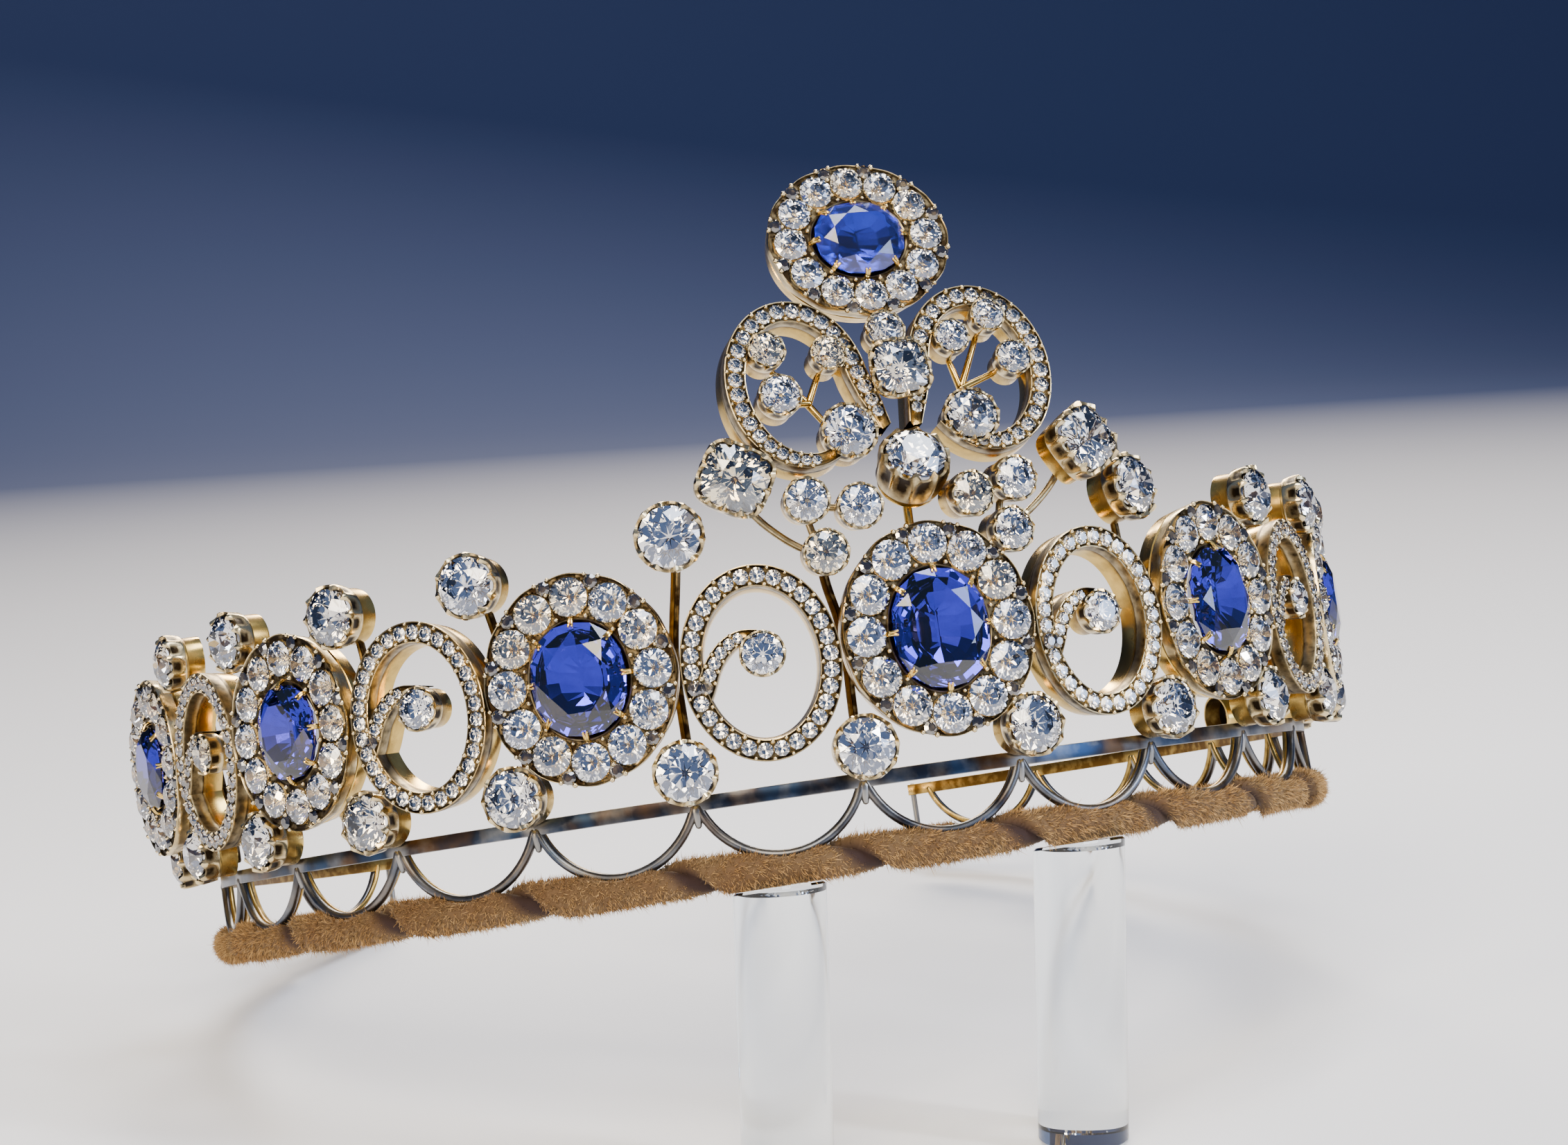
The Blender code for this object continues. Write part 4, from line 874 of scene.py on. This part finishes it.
def pave(path, widths, closed, ends=(0.0, 0.0)):
    """Places and sizes of a row of stones that touch along a path, and of the grains between them. A stone
    takes 0.73 of the band's width, and ends gives the bare length at each end, in stones."""
    path = np.asarray(path, float)
    walk = np.concatenate([path, path[:1]]) if closed else path
    width = np.broadcast_to(widths, len(path))
    width = np.append(width, width[0]) if closed else width
    length = np.concatenate([[0], np.cumsum(np.hypot(*np.diff(walk, axis=0).T))])
    size = 0.73 * width
    # Each stone takes as much of the path as it is across: the running sum of 1 / size counts the stones.
    count_line = np.concatenate([[0], np.cumsum(np.diff(length) * 2 / (size[1:] + size[:-1]))])
    low, high = ends[0], count_line[-1] - ends[1]
    number = int(round(high - low))
    at = low + (np.arange(number) + 0.5) * (high - low) / number
    mid = low + np.arange(0 if closed else 1, number) * (high - low) / number

    def point(t):
        spots = np.stack([np.interp(t, count_line, walk[:, k]) for k in (0, 1)], axis=1)
        return spots, np.interp(t, count_line, size)

    stones, sizes = point(at)
    grains, grain_sizes = point(mid)
    ahead, _ = point(np.clip(mid + 0.05, 0, count_line[-1]))
    behind, _ = point(np.clip(mid - 0.05, 0, count_line[-1]))
    along = ahead - behind
    along /= np.linalg.norm(along, axis=1, keepdims=True) + 1e-9
    across = np.stack([along[:, 1], -along[:, 0]], axis=1)
    return stones, sizes, grains, across, grain_sizes


def pave_parts(row):
    """The stones of a row as one part, and its grains as two: one along each side of the band."""
    stones, sizes, grains, across, grain_sizes = row
    gems = copies(single_cut(1.0), np.insert(stones, 1, -0.02, axis=1), sizes,
                  stone_random.uniform(0, 1, len(stones)))
    edges = [grains + across * grain_sizes[:, None] * offset for offset in (-0.52, 0.52)]
    beads = [copies(bead(0.58), np.insert(edge, 1, 0.06, axis=1), stone_random.uniform(0.8, 1.15, len(edge)))
             for edge in edges]
    return gems, beads


def dense(path, count):
    """More points along an open path: a curve through its points that is smoothed with a running mean."""
    path = np.asarray(path, float)
    t, columns = np.linspace(0, len(path) - 1, count), range(path.shape[1])
    fine = np.stack([np.interp(t, np.arange(len(path)), path[:, k]) for k in columns], axis=1)
    reach = max(3, count // len(path)) | 1
    weight = np.ones(reach) / reach
    before, after = 2 * fine[0] - fine[reach // 2:0:-1], 2 * fine[-1] - fine[-2:-reach // 2 - 1:-1]
    padded = np.concatenate([before, fine, after])
    return np.stack([np.convolve(padded[:, k], weight, "valid") for k in columns], axis=1)


# The curl's rows are x and z as shares of the scroll's half sizes, and its width as a share of the band's. A
# scroll fills the room between the clusters beside it, less a gap at each side.
band_width, band_depth, scroll_height, scroll_middle, scroll_gap = 2.6, 4.3, 22.8, 22.2, 0.4
curl = np.array([(-0.80, -0.31, 0.86), (-0.71, -0.18, 0.86), (-0.61, 0.02, 0.82), (-0.43, 0.20, 0.76),
                 (-0.22, 0.29, 0.66), (0.0, 0.28, 0.5)])
cluster_half = {row[0]: cluster_width / 2 * row[1] for row in clusters}
step = np.radians(pitch)
for element in (-5, -3, -1, 1, 3, 5):
    word = ("left_" if element < 0 else "right_") + str((abs(element) + 1) // 2)
    left, right = (ornament_front * np.sin(step) - cluster_half[element + side] * np.cos(step) - scroll_gap
                   for side in (-1, 1))
    width = left + right
    matrix = ring_plane(element * pitch, ornament_front, scroll_middle) @ moved((right - left) / 2, 0, 0)
    turn = np.linspace(0, 2 * np.pi, 120, endpoint=False)
    loop = np.stack([(width - band_width) / 2 * np.sin(turn),
                     (scroll_height - band_width) / 2 * np.cos(turn)], axis=1)
    curl_path = dense(curl[:, :2] * [width / 2, scroll_height / 2], 48)
    curl_width = np.interp(np.linspace(0, 5, 48), np.arange(6), curl[:, 2]) * band_width
    cup, eye = collet(5.5, 5.5, 4.1, claws=9, flute=0.01)
    shift = moved(0.03 * width / 2, -0.35, 0.085 * scroll_height / 2)
    loop_gems, loop_beads = pave_parts(pave(loop, band_width, True))
    curl_gems, curl_beads = pave_parts(pave(curl_path, curl_width, False, ends=(0.6, 1.6)))
    metal = [band(loop, band_width, True), band(curl_path, curl_width, False), *loop_beads, *curl_beads]
    make_jewel(f"scroll_{word}_band", metal + [placed(part, shift) for part in cup],
               f"scroll_{word}_diamonds", [loop_gems, curl_gems] + [placed(part, shift) for part in eye],
               f"scroll_{word}", matrix)


# Side sprigs: three collets in a trefoil and one cushion-cut diamond, on silver wires that run into one
# stalk. The places are x outwards and z up, with the cushion-cut stone's last.
sprig_back = 77.6
sprigs = {"left": ((3.0, 39.9), (-3.1, 38.5), (1.6, 33.7), (11.0, 43.3)),
          "right": ((1.5, 39.8), (-4.5, 38.5), (0.1, 33.9), (11.5, 43.7))}
for word, rows in sprigs.items():
    side = -1 if word == "left" else 1
    matrix = ring_plane(side * pitch / 2, sprig_back + collet_depth, 0.0)
    spots = [(side * x, z) for x, z in rows]
    metal, gems = [], []
    for n, (x, z) in enumerate(spots[:3]):
        cup, gem = collet(5.6, 5.6, collet_depth, claws=9, twist=40.0 * n)
        metal += [placed(part, moved(x, 0, z)) for part in cup]
        gems += [placed(part, moved(x, 0, z)) for part in gem]
    x, z = spots[3]
    cup, gem = collet(8.8, 8.3, collet_depth, claws=12, power=3.6, flute=0.04 + 0.02 * side,
                      twist=side * 30.0, cup=0.55)
    cushion_plane = moved(x, -0.6, z)
    if side > 0:
        cushion_plane = cushion_plane @ turned("z", 15.0) @ turned("x", -12.0)
    metal += [placed(part, cushion_plane) for part in cup]
    gems += [placed(part, cushion_plane) for part in gem]
    back, low = collet_depth - 0.5, spots[2]
    arm = np.array([low, (low[0] + (x - low[0]) * 0.35, low[1] + (z - low[1]) * 0.18),
                    (low[0] + (x - low[0]) * 0.75, low[1] + (z - low[1]) * 0.55), (x, z)])
    for path in (np.array([low, spots[0]]), np.array([spots[1], spots[0]]), dense(arm, 24)):
        metal.append(rod(np.insert(path, 1, back, axis=1), 0.9, (0, 1, 0), 10, 0, 0.45))
    low_at = side * 0.5 + np.degrees(np.arctan2(low[0], sprig_back)) / pitch
    stalk = twin_rod(stalk_path(side * 0.5, low_at, low[1], sprig_back), on_ring(side * pitch / 2, 1.0, 0.0))
    metal += [placed(part, np.linalg.inv(matrix) @ seat) for part in stalk]
    make_jewel(f"sprig_{word}_mount", metal, f"sprig_{word}_diamonds", gems,
               f"side_sprig_{word}", matrix)


# Crest: two pavé scrolls form a heart, each with a large collet at its foot and a spray of three small ones.
# A deep fluted knop carries it, and a cushion-cut stone, a bud and an oval cluster stand on the middle line.
# Each scroll follows an oval round the middle of its lobe and then runs straight to its tip. The rows are x,
# z and width of its four collets, the one at its foot first.
crest_front, crest_foot = 82.0, 36.0
crest_plane = seat @ moved(0.0, -crest_front, crest_foot) @ turned("x", -12.0)
lobe_middle, lobe_half, lobe_tip = (11.4, 18.1), (7.5, 9.4), (1.9, 12.1)
hearts = {"left": ((-6.9, 11.8, 7.0), (-14.8, 22.7, 4.7), (-7.4, 21.6, 4.5), (-14.3, 17.0, 5.3)),
          "right": ((8.4, 12.2, 7.0), (8.2, 22.3, 4.5), (13.3, 24.6, 4.4), (15.3, 18.9, 4.6))}
for word, rows in hearts.items():
    side = -1 if word == "left" else 1
    sweep = np.linspace(np.radians(-66 if side < 0 else -38), np.radians(-354), 90)
    path = np.stack([side * (lobe_middle[0] - lobe_half[0] * np.cos(sweep)),
                     lobe_middle[1] + lobe_half[1] * np.sin(sweep)], axis=1)
    tail = np.linspace(path[-1], (side * lobe_tip[0], lobe_tip[1]), 22)[1:]
    path = np.concatenate([path, tail]) + [-0.4, 0]
    path = dense(path, 130)
    widths = band_width * np.interp(np.linspace(0, 17, 130), [0, 4, 15, 16, 17], [0.55, 1.0, 1.0, 0.8, 0.6])
    gems, beads = pave_parts(pave(path, widths, False, ends=(2.0, 1.0)))
    metal, stones = [band(path, widths, False, 1.0), *beads], [gems]
    for n, (x, z, size) in enumerate(rows):
        cup, gem = collet(size, size, band_depth, claws=11 if n == 0 else 8, twist=31.0 * n)
        metal += [placed(part, moved(x, -0.5, z)) for part in cup]
        stones += [placed(part, moved(x, -0.5, z)) for part in gem]
    foot = np.array([side * 9.6 - 0.4, 16.8])
    for n, (x, z, _) in enumerate(rows):
        spray = np.stack([foot, (x, z)])
        spray = np.insert(spray, 1, band_depth - 0.9 - 0.13 * n, axis=1)
        metal.append(rod(spray, (0.9, 0.7), (0, 1, 0), 10, 1, 0.8))
    make_jewel(f"crest_{word}_band", metal, f"crest_{word}_diamonds", stones,
               f"crest_scroll_{word}", crest_plane)


def set_on_crest(name, node, parts, at, extra=()):
    """One stone of the middle line in its mount, moved to its place on the crest's plane."""
    cup, gem = ([placed(part, at) for part in group] for group in parts)
    make_jewel(name + "_mount", [*cup, *extra], name + "_diamond", gem,
               node, crest_plane)


# The knop's cup faces up by 20 degrees, on a gold stalk that rises behind the middle cluster.
knop = collet(8.4, 8.4, 5.4, claws=10, flute=0.13, deep=0.4, cup=0.82)
knop_at = moved(0.2, 1.0, 7.1) @ turned("x", -20.0) @ moved(0.0, -2.0, 0.0)
crest_in_ring = np.linalg.inv(seat) @ crest_plane
stalk_back = (crest_in_ring @ np.array([0.2, 3.0, 7.1, 1.0]))[:3]
stalk_radius = 76.06
stalk = np.array([on_ring(0.0, stalk_radius, 12.8), on_ring(0.0, stalk_radius, 36.0),
                  [0.0, stalk_back[1] + 1.2, stalk_back[2] - 1.0], stalk_back])
knop_stalk = placed(rod(dense(stalk, 30), 1.08, (1, 0, 0), 10, 1, 0.7), np.linalg.inv(crest_plane) @ seat)
set_on_crest("knop", "crest_knop", knop, knop_at, [knop_stalk])
cushion = collet(7.6, 7.6, 1.9, claws=12, power=3.0, flute=0.03, twist=2.0)
set_on_crest("crest_cushion", "crest_cushion", cushion, moved(0.3, -2.3, 18.3))
set_on_crest("crest_bud", "crest_bud", collet(5.0, 5.0, 3.6, claws=8), moved(0.2, -0.4, 23.9))
cluster("crest_cluster", 22.6, 19.4, 11.1, 9.2, crest_plane @ moved(-0.4, 0.0, 35.9), milky_sapphire)


# Posts: polished clear acrylic rod of 11, sawn level at the foot and to the ring's tilt at the top, with the
# edges broken by a small chamfer.
acrylic, _, _ = new_finish("clear_acrylic", Base_Color=hex_colour("#f7fbfc"), Roughness=0.01, IOR=1.49,
                           Transmission_Weight=1.0)
post_turn, post_chamfer = np.linspace(0, 2 * np.pi, 72, endpoint=False), 0.3
ring_normal = seat[:3, 2]


def cut_ring(top, radius, height, tilt):
    """Points round the rod under this top; a tilt of 1 follows the ring's plane and 0 is level."""
    x, y = radius * np.cos(post_turn), radius * np.sin(post_turn)
    drop = -(ring_normal[0] * x + ring_normal[1] * y) / ring_normal[2] * tilt
    return np.stack([top[0] + x, top[1] + y, height + drop], axis=1)


for word, angle in post_angles.items():
    top = (seat @ np.append(on_ring(angle, post_radius, post_top), 1.0))[:3]
    wide, narrow = post_width / 2, post_width / 2 - post_chamfer
    rows = [(0.0, 0.0, 0), (narrow, 0.0, 0), (wide, post_chamfer, 0), (wide, top[2] - post_chamfer, 1),
            (narrow, top[2], 1), (0.0, top[2], 1)]
    rod_grid = np.array([cut_ring(top, *row) for row in rows])
    make_piece(f"post_{word}_rod", [skin(rod_grid)], [acrylic], [f"post_{word}"], None, 25.0)
